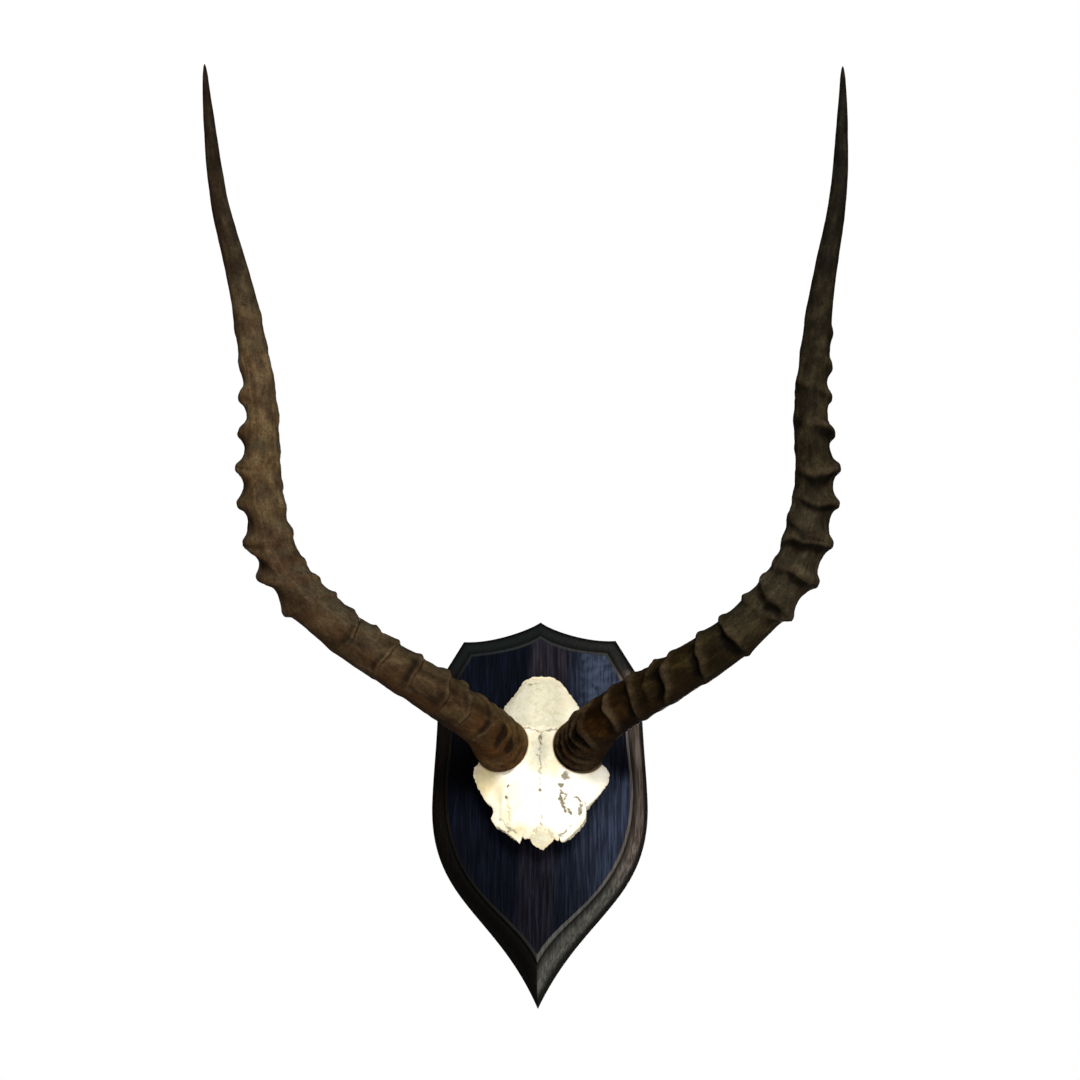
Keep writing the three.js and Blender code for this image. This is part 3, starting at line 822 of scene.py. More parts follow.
EDGE_STEPS, EDGE_WEAR, EVENING, CHIP_SIZE = 2400, 4, 130, 1.6
edge_line = closed_line(SKULL_OUTLINE, EDGE_STEPS, EDGE_WEAR)
even_line = closed_line(SKULL_OUTLINE, EDGE_STEPS, EVENING)
chips = rough_noise(*(edge_line / CHIP_SIZE).T, 0.0)
to_centre = np.array(SKULL_CENTRE) - edge_line
to_centre /= np.linalg.norm(to_centre, axis=1)[:, None]
edge_line = edge_line + to_centre * np.clip(0.35 + 0.8 * chips, 0, 1.1)[:, None]

column = np.rint(turn * SKULL_COLUMNS).astype(int) % SKULL_COLUMNS * (EDGE_STEPS // SKULL_COLUMNS)
front_share = np.clip(row / FRONT_ROWS, 0, 1) ** 0.92
back_share = np.clip((SKULL_ROWS - row) / BACK_ROWS, 0, 1)
ring_share = np.where(row <= FRONT_ROWS, front_share, back_share)
rim = even_line[column] + (edge_line[column] - even_line[column]) * (ring_share**7)[:, None]
flat_places = np.array(SKULL_CENTRE) + (rim - np.array(SKULL_CENTRE)) * ring_share[:, None]
bone_x, bone_z = flat_places.T
print("skull spans", flat_places.min(axis=0).round(1), "to", flat_places.max(axis=0).round(1))


# %% [markdown]
# The seams, pits and cracks are lists of places on the face of the bone. A seam is a line with
# its width, depth and how dark the dirt in it is. All of them are made ragged by the same noise,
# because bone never breaks along a ruled line.

# %% Seams, pits and swellings
SEAMS = [
    ([(-8.5, 57.2), (-5.5, 56.4), (-1, 55.2), (3.7, 54.6), (9, 55.3), (14.9, 56.3), (18, 57.5)],
     0.7, 0.45, 0.45),
    ([(2.3, 54), (2.6, 45), (2.1, 38), (2.8, 30), (2.4, 23.5)], 0.8, 0.5, 0.42),
    ([(2.4, 23.5), (2.8, 10), (2.3, 0), (3.2, -13.9)], 0.7, 0.35, 0.4),
    ([(-20.6, 14.5), (-21.8, 6.6), (-20.8, -4), (-21.3, -12), (-20.6, -17.7)], 0.9, 0.8, 0.26),
    ([(17.5, 10), (17.2, 6), (18, 2.2), (21.3, -2.8), (24.1, -5)], 1.1, 0.8, 0.8),
    ([(18.8, 10), (21, 8), (20.5, 4)], 0.7, 0.5, 0.5),
    ([(28.5, 6.2), (32.4, 2.4), (37.2, 0.2)], 0.8, 0.7, 0.7),
    ([(32.4, 2.4), (31, -1.5), (30.3, -6.2)], 0.9, 0.7, 0.6),
    ([(-4.6, -25), (-3.6, -20.5), (-1.2, -16.6), (3.9, -15), (8, -17.5), (11.9, -22.5)],
     0.8, 0.7, 0.3),
    ([(-9.7, 93.6), (-6.5, 92.2), (-3.4, 93), (0.5, 92.4)], 0.7, 0.6, 0.45),
    ([(-26.6, -9), (-22, -14.5), (-15.6, -19)], 0.8, 0.6, 0.4),
    ([(24.5, -14), (19.5, -18.8), (16.4, -21)], 0.8, 0.8, 0.55),
]
PITS = [
    (2.2, 50.1, 1.5, 1.3, 0.9, 0.75), (2.6, 46.3, 1.2, 1.3, 0.8, 0.65),
    (2.4, 11.6, 1.0, 1.0, 0.8, 0.7), (-20.4, 14.6, 1.1, 1.0, 0.8, 0.8),
    (-22.0, 6.4, 1.2, 0.9, 0.8, 0.85), (-21.0, -17.7, 1.0, 1.0, 0.7, 0.7),
    (20.3, 21.2, 3.3, 3.4, 1.0, 0.62), (17.6, 15.0, 1.9, 1.5, 1.2, 1.0),
    (17.4, 4.2, 1.3, 1.5, 0.9, 0.9), (23.6, -4.8, 1.6, 1.1, 0.9, 0.9),
    (19.3, -1.2, 1.2, 1.1, 0.8, 0.7), (31.4, -4.2, 1.1, 1.3, 0.7, 0.6),
    (27.4, 6.6, 1.1, 0.8, 0.7, 0.7), (-7.4, 92.8, 1.2, 0.6, 0.7, 0.5),
    (0.8, 36.5, 0.7, 0.7, 0.5, 0.4),
]
SWELLINGS = [
    (-10.5, 3, 9, 17, 1.5), (14.5, 6, 9, 18, 1.5), (2.5, 42, 4, 14, -1.2), (-38.5, 20, 7, 9, -2.4),
    (-32, 10, 5, 8, -1.0), (42.5, 21, 7, 9, -1.6), (-25.2, -4, 1.7, 10, 0.9),
    (2.5, 74, 15, 10, 1.4), (27, 1, 5, 6, 0.9), (3.4, -24, 5.5, 5, 1.2), (-23, 74, 4, 5, -1.0),
]
RAGGED = 1.5

# %% Carving the seams and pits
def line_distance(x, z, line):
    nearest = np.full_like(x, 1e9)
    for (x0, z0), (x1, z1) in zip(line, line[1:]):
        dx, dz = x1 - x0, z1 - z0
        share = np.clip(((x - x0) * dx + (z - z0) * dz) / (dx * dx + dz * dz), 0, 1)
        nearest = np.minimum(nearest, np.hypot(x - x0 - share * dx, z - z0 - share * dz))
    return nearest


def bone_noise(size, offset, octaves=3):
    return rough_noise(bone_x / size, bone_z / size, offset, octaves)


def bone_patch(x, z, wide, high):
    return bump_at(np.hypot((bone_x - x) / wide, (bone_z - z) / high), 1)


ragged_x = bone_x + RAGGED * bone_noise(2.4, 3.7)
ragged_z = bone_z + RAGGED * bone_noise(2.4, 9.1)
broken = np.clip(1.0 + 1.6 * bone_noise(2.2, 5.5, 2), 0.25, 1)
feature_height, stain = np.zeros_like(bone_x), np.zeros_like(bone_x)
for line, width, depth, dirt in SEAMS:
    gap = bump_at(line_distance(ragged_x, ragged_z, line), 1.5 * width) * broken
    feature_height -= depth * gap
    stain = np.maximum(stain, dirt * gap)
for x, z, wide, high, depth, dirt in PITS:
    hole = bump_at(np.hypot((ragged_x - x) / wide, (ragged_z - z) / high) ** 1.6, 1)
    feature_height -= depth * hole
    stain = np.maximum(stain, dirt * hole)
for x, z, wide, high, rise in SWELLINGS:
    feature_height += rise * bone_patch(x, z, wide, high)
print("bone features in mm:", feature_height.min().round(2), "to", feature_height.max().round(2))


# %% [markdown]
# Under each horn the bone rises in a stump that carries the horn, cut off flat. Everything inside
# the horn's rim stays a hair below the horn's base, so the two never pass through each other.

# %% Horn stumps
SEAT_RADIUS, STUMP_RADIUS = 21.0, 17.2
SEAT_CLEARANCE = 0.5


def stump_heights(line, x, z):
    along = line.axes(np.zeros(1))[0][0]
    base_x, base_y, base_z = line.line[0]
    rise = ((x - base_x) * along[0] + (z - base_z) * along[2]) / along[1]
    seat = -(base_y - rise) - BOARD - FITTING_GAP - SEAT_CLEARANCE
    across = np.stack([x - base_x, -rise, z - base_z], axis=1)
    return seat, np.linalg.norm(across, axis=1)


def bone_heights(x, z):
    aside = np.abs(x - SKULL_CENTRE[0]) / 47
    height = np.maximum(np.interp(z, CREST_AT, CREST_HEIGHT) - 13 * aside**2.6, 4)
    for line in (left_line, right_line):
        seat, from_axis = stump_heights(line, x, z)
        stump = seat - 2.2 * np.clip(from_axis - STUMP_RADIUS, 0, None)
        height = np.maximum(height, stump)
        inside = fade(from_axis, SEAT_RADIUS - 0.8, SEAT_RADIUS + 0.8)
        height = height - inside * np.clip(height - seat, 0, None)
    return height


# %% [markdown]
# The back of the plate lies on the board, except where it arches: over an eye socket under each
# wing and over the passage of the nose. The bone above those hollows is only a few millimetres.

# %% Hollow back and shaping
HOLLOWS = [(-49.5, 14, 2, 22, 15, 20), (54.5, 14, 2, 22, 15, 20), (2.5, -24, 3, 20, 17, 34)]
BONE_WALL = 3.2


def hollow_heights(x, z):
    hollow = np.zeros_like(x)
    for centre_x, centre_z, lift, wide, deep, high in HOLLOWS:
        inside = 1 - ((x - centre_x) / wide) ** 2 - ((z - centre_z) / high) ** 2
        dome = lift + deep * np.sqrt(np.clip(inside, 0, 1))
        hollow = np.maximum(hollow, np.where(inside > 0, dome, 0))
    return hollow


pores, unevenness = bone_noise(1.1, 1.3), bone_noise(9, 6.3)
on_crown = smooth_step(bone_z, 54, 60)
near_edge = smooth_step(ring_share, 0.93, 1)
horn_lines = (left_line, right_line)
from_horn = np.minimum(*[stump_heights(line, bone_x, bone_z)[1] for line in horn_lines])
skin = feature_height + 0.5 * unevenness + (0.1 + 0.32 * on_crown) * pores
front_height = bone_heights(bone_x, bone_z) + smooth_step(from_horn, 17, 21) * skin
edge_drop = (1.5 + 2.0 * on_crown) * ring_share**14
front_height = front_height - edge_drop - 0.5 * near_edge * np.abs(pores)
front_height = np.maximum(front_height, 2.5)
wall = BONE_WALL * (1 - 0.4 * near_edge)
back_height = np.minimum(hollow_heights(bone_x, bone_z), front_height - wall)
back_height = np.maximum(back_height, 0)
wall_share = np.clip((row - FRONT_ROWS) / WALL_ROWS, 0, 1)
bone_height = front_height + (back_height - front_height) * wall_share
bone_y = -(BOARD + FITTING_GAP + bone_height)
move_points(skull, np.column_stack([bone_x, bone_y, bone_z]) * MM)
print("bone stands", bone_height.max().round(1), "mm off the board")

# %% [markdown]
# The finish has to know where the bone is warm, with old fat and, on the left, with painted shade,
# where it is dull and porous, where dirt lies in the seams, and where a painted contact shadow
# rings the seat of each horn.

# %% Where the bone is stained, warm and dull
# Amber patches: old fat in the bone, and on the left wing and brow a painted shade.
WARM_PLACES = [
    (-38, 20, 10, 13, 1.3), (-28, 10, 8, 14, 0.7), (13, 29, 5, 10, 1.0), (-22, -8, 7, 15, 0.7),
    (3, -23, 10, 8, 1.1), (-14, -17, 10, 7, 0.8), (2.5, 76, 28, 18, 0.85), (2.5, 45, 9, 14, 0.9),
    (30, -12, 7, 8, 0.3), (-12, 5, 12, 18, 0.4),
]
DULL_PLACES = [(2.5, 40, 11, 18, 1.45), (3.5, -24, 10, 9, 1.0)]
SEAT_SHADOW_START, SEAT_SHADOW_WIDTH = 1.2, 0.9


def strongest(places):
    return np.max([amount * bone_patch(*place) for *place, amount in places], axis=0)


warmth = strongest(WARM_PLACES)
# A dark ring just outside each horn's rim: a painted contact shadow.
past_seat = np.maximum(from_horn - SEAT_RADIUS + SEAT_SHADOW_START, 0)
# The crown is painted duller and greyer on its left and whiter at its right corner: painted light
# from the right.
crown_dull_and_lit = (0.92 + 0.3 * smooth_step(-bone_x, 0, 12)) * on_crown
crown_dull_and_lit = crown_dull_and_lit * (1 - 0.7 * smooth_step(bone_x, 13, 23))
in_front = row <= FRONT_ROWS
mark_points(skull, "stain", np.clip(stain * in_front, 0, 1))
mark_points(skull, "seat", bump_at(past_seat, SEAT_SHADOW_WIDTH) * in_front)
mark_points(skull, "warmth", np.clip(warmth, 0, 1))
mark_points(skull, "crown", np.maximum(strongest(DULL_PLACES), crown_dull_and_lit))
mark_points(skull, "rim", np.where(in_front, smooth_step(ring_share, 0.96, 1), 1.0))
print("warm share of the bone:", warmth.mean().round(2))

# %% [markdown]
# ## Bone finish
# Boiled and bleached bone is almost white on the brows and amber where fat has stayed in it; the
# amber on the left wing and brow is painted shade. The crown and the middle between the horns are
# dull and porous, dotted with small holes, and the crown is painted greyer on its left and whiter
# at its right corner, as painted light from the right. Dirt sits in the seams and in the pits, and
# a painted contact shadow rings the seat of each horn.

# %% Bone finish
SEAT_SHADOW_TINTS = [(1, 1, 1), (0.78, 0.62, 0.44), (0.06, 0.04, 0.025)]


def bone_finish():
    finish = Finish("bleached_bone")
    places = finish.places()
    clouds = finish.noise(places, 70, 5, 0.6)
    blotches = finish.noise(places, 210, 5, 0.65)
    speckle = finish.noise(places, 950, 3, 0.6)
    holes = finish.noise(places, 1500, 2, 0.5)
    white = (rgb(206, 200, 180), rgb(217, 214, 202), rgb(223, 221, 213))
    cream = (rgb(172, 155, 114), rgb(192, 180, 142), rgb(202, 196, 168))
    porous = (rgb(158, 151, 126), rgb(176, 172, 150), rgb(186, 183, 166))
    white = finish.tones(clouds, *white, at=(0.3, 0.55, 0.8))
    cream = finish.tones(clouds, *cream, at=(0.25, 0.6, 0.9))
    porous = finish.tones(blotches, *porous, at=(0.25, 0.5, 0.75))
    warm = finish.times(finish.mark("warmth"), finish.spread(clouds, 0.2, 0.6, 0.6, 1.15))
    crown = finish.mark("crown")
    on_crown = finish.spread(crown, 0.0, 1.0)
    rim = finish.times(finish.mark("rim"), finish.spread(speckle, 0.35, 0.65, 0.15, 0.7))
    dirt = finish.times(finish.mark("stain"), finish.spread(speckle, 0.25, 0.6, 0.65, 1.25))
    base = finish.coats(finish.mix(warm, white, cream), [
        (on_crown, porous),
        # Greyer between the horns, and on the left of the crown as painted shade.
        (finish.spread(crown, 0.9, 1.5, 0.0, 0.8), rgb(152, 149, 136)),
        (rim, rgb(206, 190, 152)),
        (finish.times(on_crown, finish.spread(holes, 0.42, 0.3, 0.0, 0.6)), rgb(150, 126, 84)),
        (finish.spread(speckle, 0.74, 0.8, 0.0, 0.35), rgb(170, 150, 112)),
        (finish.spread(dirt, 0.05, 0.66, 0.0, 0.92), rgb(88, 79, 60)),
    ])
    # Painted contact shadow round the seat of each horn.
    seat_contact_shadow = finish.tones(finish.mark("seat"), *SEAT_SHADOW_TINTS, at=(0.0, 0.4, 0.85))
    return finish.surface({
        "Base Color": finish.tint(base, seat_contact_shadow), "Roughness": 0.72,
        "Specular IOR Level": 0.3, "Subsurface Weight": 0.12,
        "Subsurface Radius": (0.004, 0.0025, 0.0015), "Subsurface Scale": 0.5,
        "Normal": finish.bump(speckle, 0.00035, 0.7, finish.bump(holes, 0.0002, 0.5)),
    })


finish_piece(skull, "skull_plate", bone_finish(), sharp_angle=62)

# %% [markdown]
# ## The shield
# The shield is one oak board cut to a heraldic outline: two hollow brows, straight ears, a waist
# and a long sweep to the point. A router has run an ogee moulding round its edge. The outline of
# the board and that of the flat field are both drawn as curves with matching points, and each
# step of the moulding lies a share of the way from one to the other.

# %% Shield outlines in millimetres
OUTER_EDGE = {
    "apex": (0.8, 143), "brow": [(6, 138), (34, 127)], "corner": (57, 128.4),
    "shoulder": (76.4, 96.8), "waist": [(75.4, 61), (79.4, 34)], "hip": (80, 4),
    "sweep": [(80, -66), (31.5, -74.5)], "point": (-1.5, -143),
}
FIELD_EDGE = {
    "apex": (1.5, 128.5), "brow": [(12, 119.6), (32, 116.8)], "corner": (50, 115.2),
    "shoulder": (64.2, 91), "waist": [(62, 60), (68.5, 31)], "hip": (68, 8),
    "sweep": [(64.6, -62), (16, -74.5)], "point": (-1, -106.4),
}


def bezier(start, handles, end, steps):
    share = np.arange(steps)[:, None] / steps
    rest = 1 - share
    first, second = (np.array(handle, dtype=float) for handle in handles)
    return (
        rest**3 * np.array(start) + 3 * rest**2 * share * first
        + 3 * rest * share**2 * second + share**3 * np.array(end)
    )


def straight(start, end, steps):
    share = np.arange(steps)[:, None] / steps
    return np.array(start) * (1 - share) + np.array(end) * share


def half_outline(edge, side):
    mirror = np.array([side, 1.0])
    apex, point = np.array(edge["apex"]), np.array(edge["point"])
    names = ("brow", "waist", "sweep", "corner", "shoulder", "hip")
    brow, waist, sweep, corner, shoulder, hip = (np.array(edge[name]) * mirror for name in names)
    return np.vstack([
        bezier(apex, brow, corner, 30), straight(corner, shoulder, 10),
        bezier(shoulder, waist, hip, 30), bezier(hip, sweep, point, 50),
    ])


def whole_outline(edge):
    right, left = half_outline(edge, 1), half_outline(edge, -1)
    point = np.array([edge["point"]])
    return np.vstack([right, point, left[:0:-1]])


outer_outline, field_outline = whole_outline(OUTER_EDGE), whole_outline(FIELD_EDGE)
print("shield outline has", len(outer_outline), "points")

# %% [markdown]
# The profile goes from the back edge to the field: a plain band, a hollow rise, a quirk and a
# rounded fillet. Each pair is the share of the way inward and the height above the wall.

# %% Moulding profile
MOULDING = [
    (0, 0), (0, 0.6), (0, 4.4), (0.008, 5.1), (0.02, 5.8), (0.045, 7.0), (0.08, 8.1), (0.13, 9.2),
    (0.19, 10.3), (0.26, 11.4), (0.33, 12.4), (0.41, 13.4), (0.49, 14.3), (0.57, 15.05),
    (0.65, 15.65), (0.72, 16.0), (0.78, 16.18), (0.82, 16.2), (0.84, 16.25), (0.85, 16.7),
    (0.857, 17.6), (0.868, 18.6), (0.885, 19.35), (0.908, 19.8), (0.935, 19.98), (0.965, 20.0),
    (1.0, 20.0), (1.12, 20.0),
]
print("the moulding has", len(MOULDING), "steps")

# %% [markdown]
# The board starts as a flat disc with a point for each point of the outline. It is extruded once
# for each step of the profile, and then every point goes to its place on that step.

# %% Board
FACING_FRONT = (math.pi / 2, 0, 0)

deselect_all()
bpy.ops.mesh.primitive_circle_add(
    vertices=len(outer_outline), radius=1, fill_type="NGON", rotation=FACING_FRONT
)
shield = newest("shield_board")
apply_place()
edit_all()
for _ in MOULDING[1:]:
    extrude_by(0, -1, 0)
bpy.ops.object.mode_set(mode="OBJECT")

stack = points_of(shield)
level = np.rint(-stack[:, 1]).astype(int)
spoke = np.arctan2(stack[:, 0], stack[:, 2]) / (2 * math.pi) % 1
spoke = np.rint(spoke * len(outer_outline)).astype(int) % len(outer_outline)
inward, rise = np.array(MOULDING)[level].T
flat = outer_outline[spoke] * (1 - inward[:, None]) + field_outline[spoke] * inward[:, None]
move_points(shield, np.column_stack([flat[:, 0], -rise, flat[:, 1]]) * MM)
mark_points(shield, "inward", inward)
edit_all()
leave_facing_out()
print("board has", len(shield.data.polygons), "faces")

# %% [markdown]
# ## Sunk fittings
# Behind, a keyhole hanger lies flush in a routed recess, over a deeper pocket for the nail's head,
# and two long screws hold the skull. The recess is cut as a workshop does it: a cutter with the
# shape of the pocket is pushed into the board and taken away.

# %% Cutters
HANGER_HEIGHT = 94.0
HANGER_WIDTH, HANGER_LENGTH, HANGER_THICKNESS, HANGER_SCREW_OFFSET = 20.0, 48.0, 1.5, 18.0
RECESS_DEPTH, RECESS_PLAY = HANGER_THICKNESS + 2 * FITTING_GAP, 0.8
POCKET_WIDTH, POCKET_LENGTH, POCKET_DEPTH = 13.0, 27.0, 9.0
SCREW_ACROSS, SKULL_SCREW_HEIGHT = 20.0, 46.0
CUTTER_SIDES = 48
ROUNDING = 1e-7


def middle_of(at, shallow, deep):
    return at[0] * MM, -(shallow + deep) / 2 * MM, at[1] * MM


def slot_block(name, width, length, shallow, deep, at):
    deselect_all()
    bpy.ops.mesh.primitive_cylinder_add(
        vertices=CUTTER_SIDES, radius=width / 2 * MM, depth=(deep - shallow) * MM,
        location=middle_of(at, shallow, deep), rotation=FACING_FRONT,
    )
    block = newest(name)
    apply_place()
    stretch = max(length - width, 0) / 2
    points = points_of(block)
    upper_half = points[:, 2] > at[1] * MM + ROUNDING
    points[:, 2] += np.where(upper_half, stretch, -stretch) * MM
    move_points(block, points)
    return block


def round_cone(name, wide, narrow, shallow, deep, at):
    deselect_all()
    bpy.ops.mesh.primitive_cone_add(
        vertices=CUTTER_SIDES, radius1=wide * MM, radius2=narrow * MM, depth=(deep - shallow) * MM,
        location=middle_of(at, shallow, deep), rotation=FACING_FRONT,
    )
    cone = newest(name)
    apply_place()
    return cone


def cut(piece, cutter):
    deselect_all()
    piece.select_set(True)
    bpy.context.view_layer.objects.active = piece
    taken = piece.modifiers.new("cut", "BOOLEAN")
    taken.operation = "DIFFERENCE"
    taken.solver = "EXACT"
    taken.object = cutter
    bpy.ops.object.modifier_apply(modifier=taken.name)
    bpy.data.objects.remove(cutter)


# %% Recess, pocket and screw mouths
HANGER_AT = (0.0, HANGER_HEIGHT)
HANGER_SCREWS = [(0.0, HANGER_HEIGHT + side * HANGER_SCREW_OFFSET) for side in (1, -1)]
SKULL_SCREWS = [(SKULL_CENTRE[0] + side * SCREW_ACROSS, SKULL_SCREW_HEIGHT) for side in (-1, 1)]
PILOT, MOUTH, SHAFT = (1.7, 1.7, 1, 14), (6.8, 2.4, -1.4, 4.4), (2.4, 2.4, 3, 19.2)

recess_width, recess_length = HANGER_WIDTH + RECESS_PLAY, HANGER_LENGTH + RECESS_PLAY
cut(shield, slot_block("recess", recess_width, recess_length, -1, RECESS_DEPTH, HANGER_AT))
cut(shield, slot_block("pocket", POCKET_WIDTH, POCKET_LENGTH, 1, POCKET_DEPTH, HANGER_AT))
for place in HANGER_SCREWS:
    cut(shield, round_cone("pilot", *PILOT, place))
for place in SKULL_SCREWS:
    cut(shield, round_cone("mouth", *MOUTH, place))
    cut(shield, round_cone("shaft", *SHAFT, place))
print("board with its sunk places:", len(shield.data.polygons), "faces")

# %% [markdown]
# ## Oak finish
# The board is oak with upright grain, stained blue-black so that the open pores still show, and
# waxed to a soft gloss. On its flat field a browner stave, leaning a little, runs down the middle.
# The field is drawn dark on the left and lighter slate on the right, stain and painted light from
# the right; darker towards the bottom; nearly black beside the horns, a painted shadow of the
# horns; and paler in blotches at the upper right, a painted sheen of the wax.

# %% Stained field
NEAR_BLACK = rgb(2, 2, 3)
STAVE_LEAN = 0.06
# Painted shadows of the two horns on the field, nearly black.
HORN_SHADOWS_ON_FIELD = [(-0.058, 0.042, 0.030, 0.030), (0.061, 0.047, 0.018, 0.025)]


def painted_horn_shadow(finish, across, upward, at_x, at_z, wide, high):
    aside = finish.maths("DIVIDE", finish.maths("SUBTRACT", across, at_x), wide)
    above = finish.maths("DIVIDE", finish.maths("SUBTRACT", upward, at_z), high)
    apart = finish.maths("ADD", finish.times(aside, aside), finish.times(above, above))
    return finish.spread(apart, 1.3, 0.3, 0.0, 0.88)


def stained_field(finish, places, grain, across, upward):
    bands = finish.noise(places, (55, 55, 7), 3, 0.5)
    clouds = finish.noise(places, 190, 3, 0.55)
    night = finish.tones(grain, rgb(3, 4, 8), rgb(5, 7, 14), rgb(10, 14, 25))
    slate = finish.tones(grain, rgb(22, 26, 35), rgb(33, 39, 53), rgb(50, 58, 75))
    plum = finish.tones(grain, rgb(13, 12, 17), rgb(25, 23, 29), rgb(38, 35, 41))
    # Darker towards the bottom.
    low_dark = finish.spread(upward, -0.09, 0.06, 0.62, 1.0)
    # Dark on the left, lighter slate on the right: stain and painted light from the right.
    right = finish.times(finish.spread(across, 0.000, 0.055), low_dark)
    leaning = finish.maths("SUBTRACT", across, finish.times(upward, STAVE_LEAN))
    # A paler blotched patch at the upper right: a painted sheen.
    paled_by_light = finish.times(finish.spread(leaning, 0.016, 0.036), finish.spread(upward, 0.04, 0.1))
    paled_by_light = finish.times(paled_by_light, finish.spread(clouds, 0.38, 0.66, 0.0, 0.5))
    left_edge = finish.spread(leaning, -0.0155, -0.0095)
    stave = finish.times(left_edge, finish.spread(leaning, 0.0168, 0.0152))
    stave = finish.times(stave, finish.spread(upward, -0.02, 0.09, 0.45, 1.0))
    return finish.coats(finish.mix(right, night, slate), [
        (paled_by_light, rgb(62, 72, 88)), (stave, plum),
        (finish.spread(bands, 0.42, 0.66, 0.0, 0.28), rgb(5, 5, 9)),
        # Darker towards the bottom.
        (finish.spread(upward, 0.03, -0.09, 0.0, 0.4), NEAR_BLACK),
        # Painted shadows of the horns.
        *[(painted_horn_shadow(finish, across, upward, *place), NEAR_BLACK) for place in HORN_SHADOWS_ON_FIELD],
    ])


# %% [markdown]
# The moulding took the stain differently: it is nearly black on the left and darker towards the
# bottom, charcoal on the ears and worn down to brown and grey wood at the lower right, which is
# also lightened there as painted light and reflection from the right. A painted shade darkens its
# outer rim and the groove beside the fillet, and the fillet itself is a little worn and drawn
# lighter towards the right as a painted highlight.

# %% Stained moulding
def stained_moulding(finish, grain, across, upward, inward):
    pitch = finish.tones(grain, rgb(8, 6, 5), rgb(12, 9, 7), rgb(18, 14, 11))
    umber = finish.tones(grain, rgb(44, 37, 33), rgb(66, 58, 53), rgb(90, 81, 75))
    olive = finish.tones(grain, rgb(41, 41, 38), rgb(54, 54, 50), rgb(69, 69, 65))
    # Brown and grey worn wood, lightened as painted light and reflection from the right.
    worn_and_lit_wood = finish.mix(finish.spread(upward, -0.02, -0.07), umber, olive)
    on_ears = finish.spread(upward, 0.092, 0.112)
    # Darker towards the bottom, and charcoal on the ears.
    pitch = finish.coats(pitch, [
        (finish.spread(upward, 0.0, -0.06, 0.0, 0.7), rgb(3, 3, 3)), (on_ears, rgb(18, 21, 21)),
    ])
    below_ears = finish.spread(on_ears, 0.0, 1.0, 1.0, 0.12)
    # Right of the middle and below the ears: worn wood and painted light from the right.
    worn_and_lit_right = finish.times(finish.spread(across, -0.010, 0.060), below_ears)
    right_of_mitre = finish.spread(across, -0.0020, -0.0010)
    past_mitre = finish.times(right_of_mitre, finish.spread(upward, -0.045, -0.075))
    moulding = finish.mix(finish.maths("MAXIMUM", worn_and_lit_right, past_mitre), pitch, worn_and_lit_wood)
    # Painted shade along the outer rim and in the groove beside the fillet.
    rim = finish.spread(inward, 0.12, 0.34, 0.9, 0.0)
    groove = finish.spread(inward, 0.9, 0.87, 0.0, 0.8)
    groove = finish.times(finish.spread(inward, 0.5, 0.84), groove)
    return finish.mix(finish.maths("MAXIMUM", rim, groove), moulding, rgb(8, 8, 7))


# %% Oak finish
OAK_GLOSS = 0.006


def oak_finish():
    finish = Finish("stained_oak")
    places = finish.places()
    across, away, upward = finish.split(places)
    inward = finish.mark("inward")
    streaks = finish.noise(places, (560, 560, 32), 5, 0.62, 0.3)
    pores = finish.noise(places, (1050, 1050, 48), 3, 0.55)
    grain = finish.spread(streaks, 0.32, 0.7)
    moulded = finish.spread(inward, 1.06, 1.03)
    fillet = finish.times(finish.spread(inward, 0.88, 0.91), finish.spread(inward, 1.05, 1.0))
    few_pores = finish.spread(moulded, 0.0, 1.0, 1.0, 0.45)
    base = stained_field(finish, places, grain, across, upward)
    base = finish.coats(base, [
        (moulded, stained_moulding(finish, grain, across, upward, inward)),
        # The fillet: worn, and drawn lighter towards the right as a painted highlight.
        (finish.times(fillet, finish.spread(across, -0.08, 0.07, 0.0, 0.36)), rgb(58, 58, 59)),
        (finish.times(finish.spread(away, -0.0006, -0.0002), 0.6), rgb(60, 46, 34)),
        (finish.times(finish.spread(pores, 0.40, 0.30, 0.0, 0.75), few_pores), rgb(3, 3, 5)),
    ])
    grooves = finish.bump(finish.spread(pores, 0.3, 0.46), 0.0003, 0.7)
    return finish.surface({
        "Base Color": base, "Roughness": finish.spread(streaks, 0.3, 0.7, 0.48, 0.62),
        "Specular IOR Level": OAK_GLOSS, "Normal": finish.bump(streaks, 0.0005, 0.5, grooves),
    })


finish_piece(shield, "shield_plaque", oak_finish(), sharp_angle=26)

# %% [markdown]
# ## Hanger and screws
# The hanger is a stamped zinc plate with a keyhole: the nail's head goes in at the round end and
# the shank slides up the slot. Its edges are slightly rounded by a bevel. The screws are turned:
# a circle is extruded and narrowed step by step, then the slot is cut across the head.

# %% Hanger plate
KEYHOLE_RADIUS, KEYHOLE_DROP, KEYHOLE_SLOT, KEYHOLE_TOP = 5.0, 6.0, 5.0, 9.0
PLATE_BACK, PLATE_FRONT = FITTING_GAP, FITTING_GAP + HANGER_THICKNESS
THROUGH, COUNTERSINK = (-1, 4), (4.4, 1.7, -0.85, 1.95)
EASED_EDGE, EASED_ANGLE = 0.22, 50

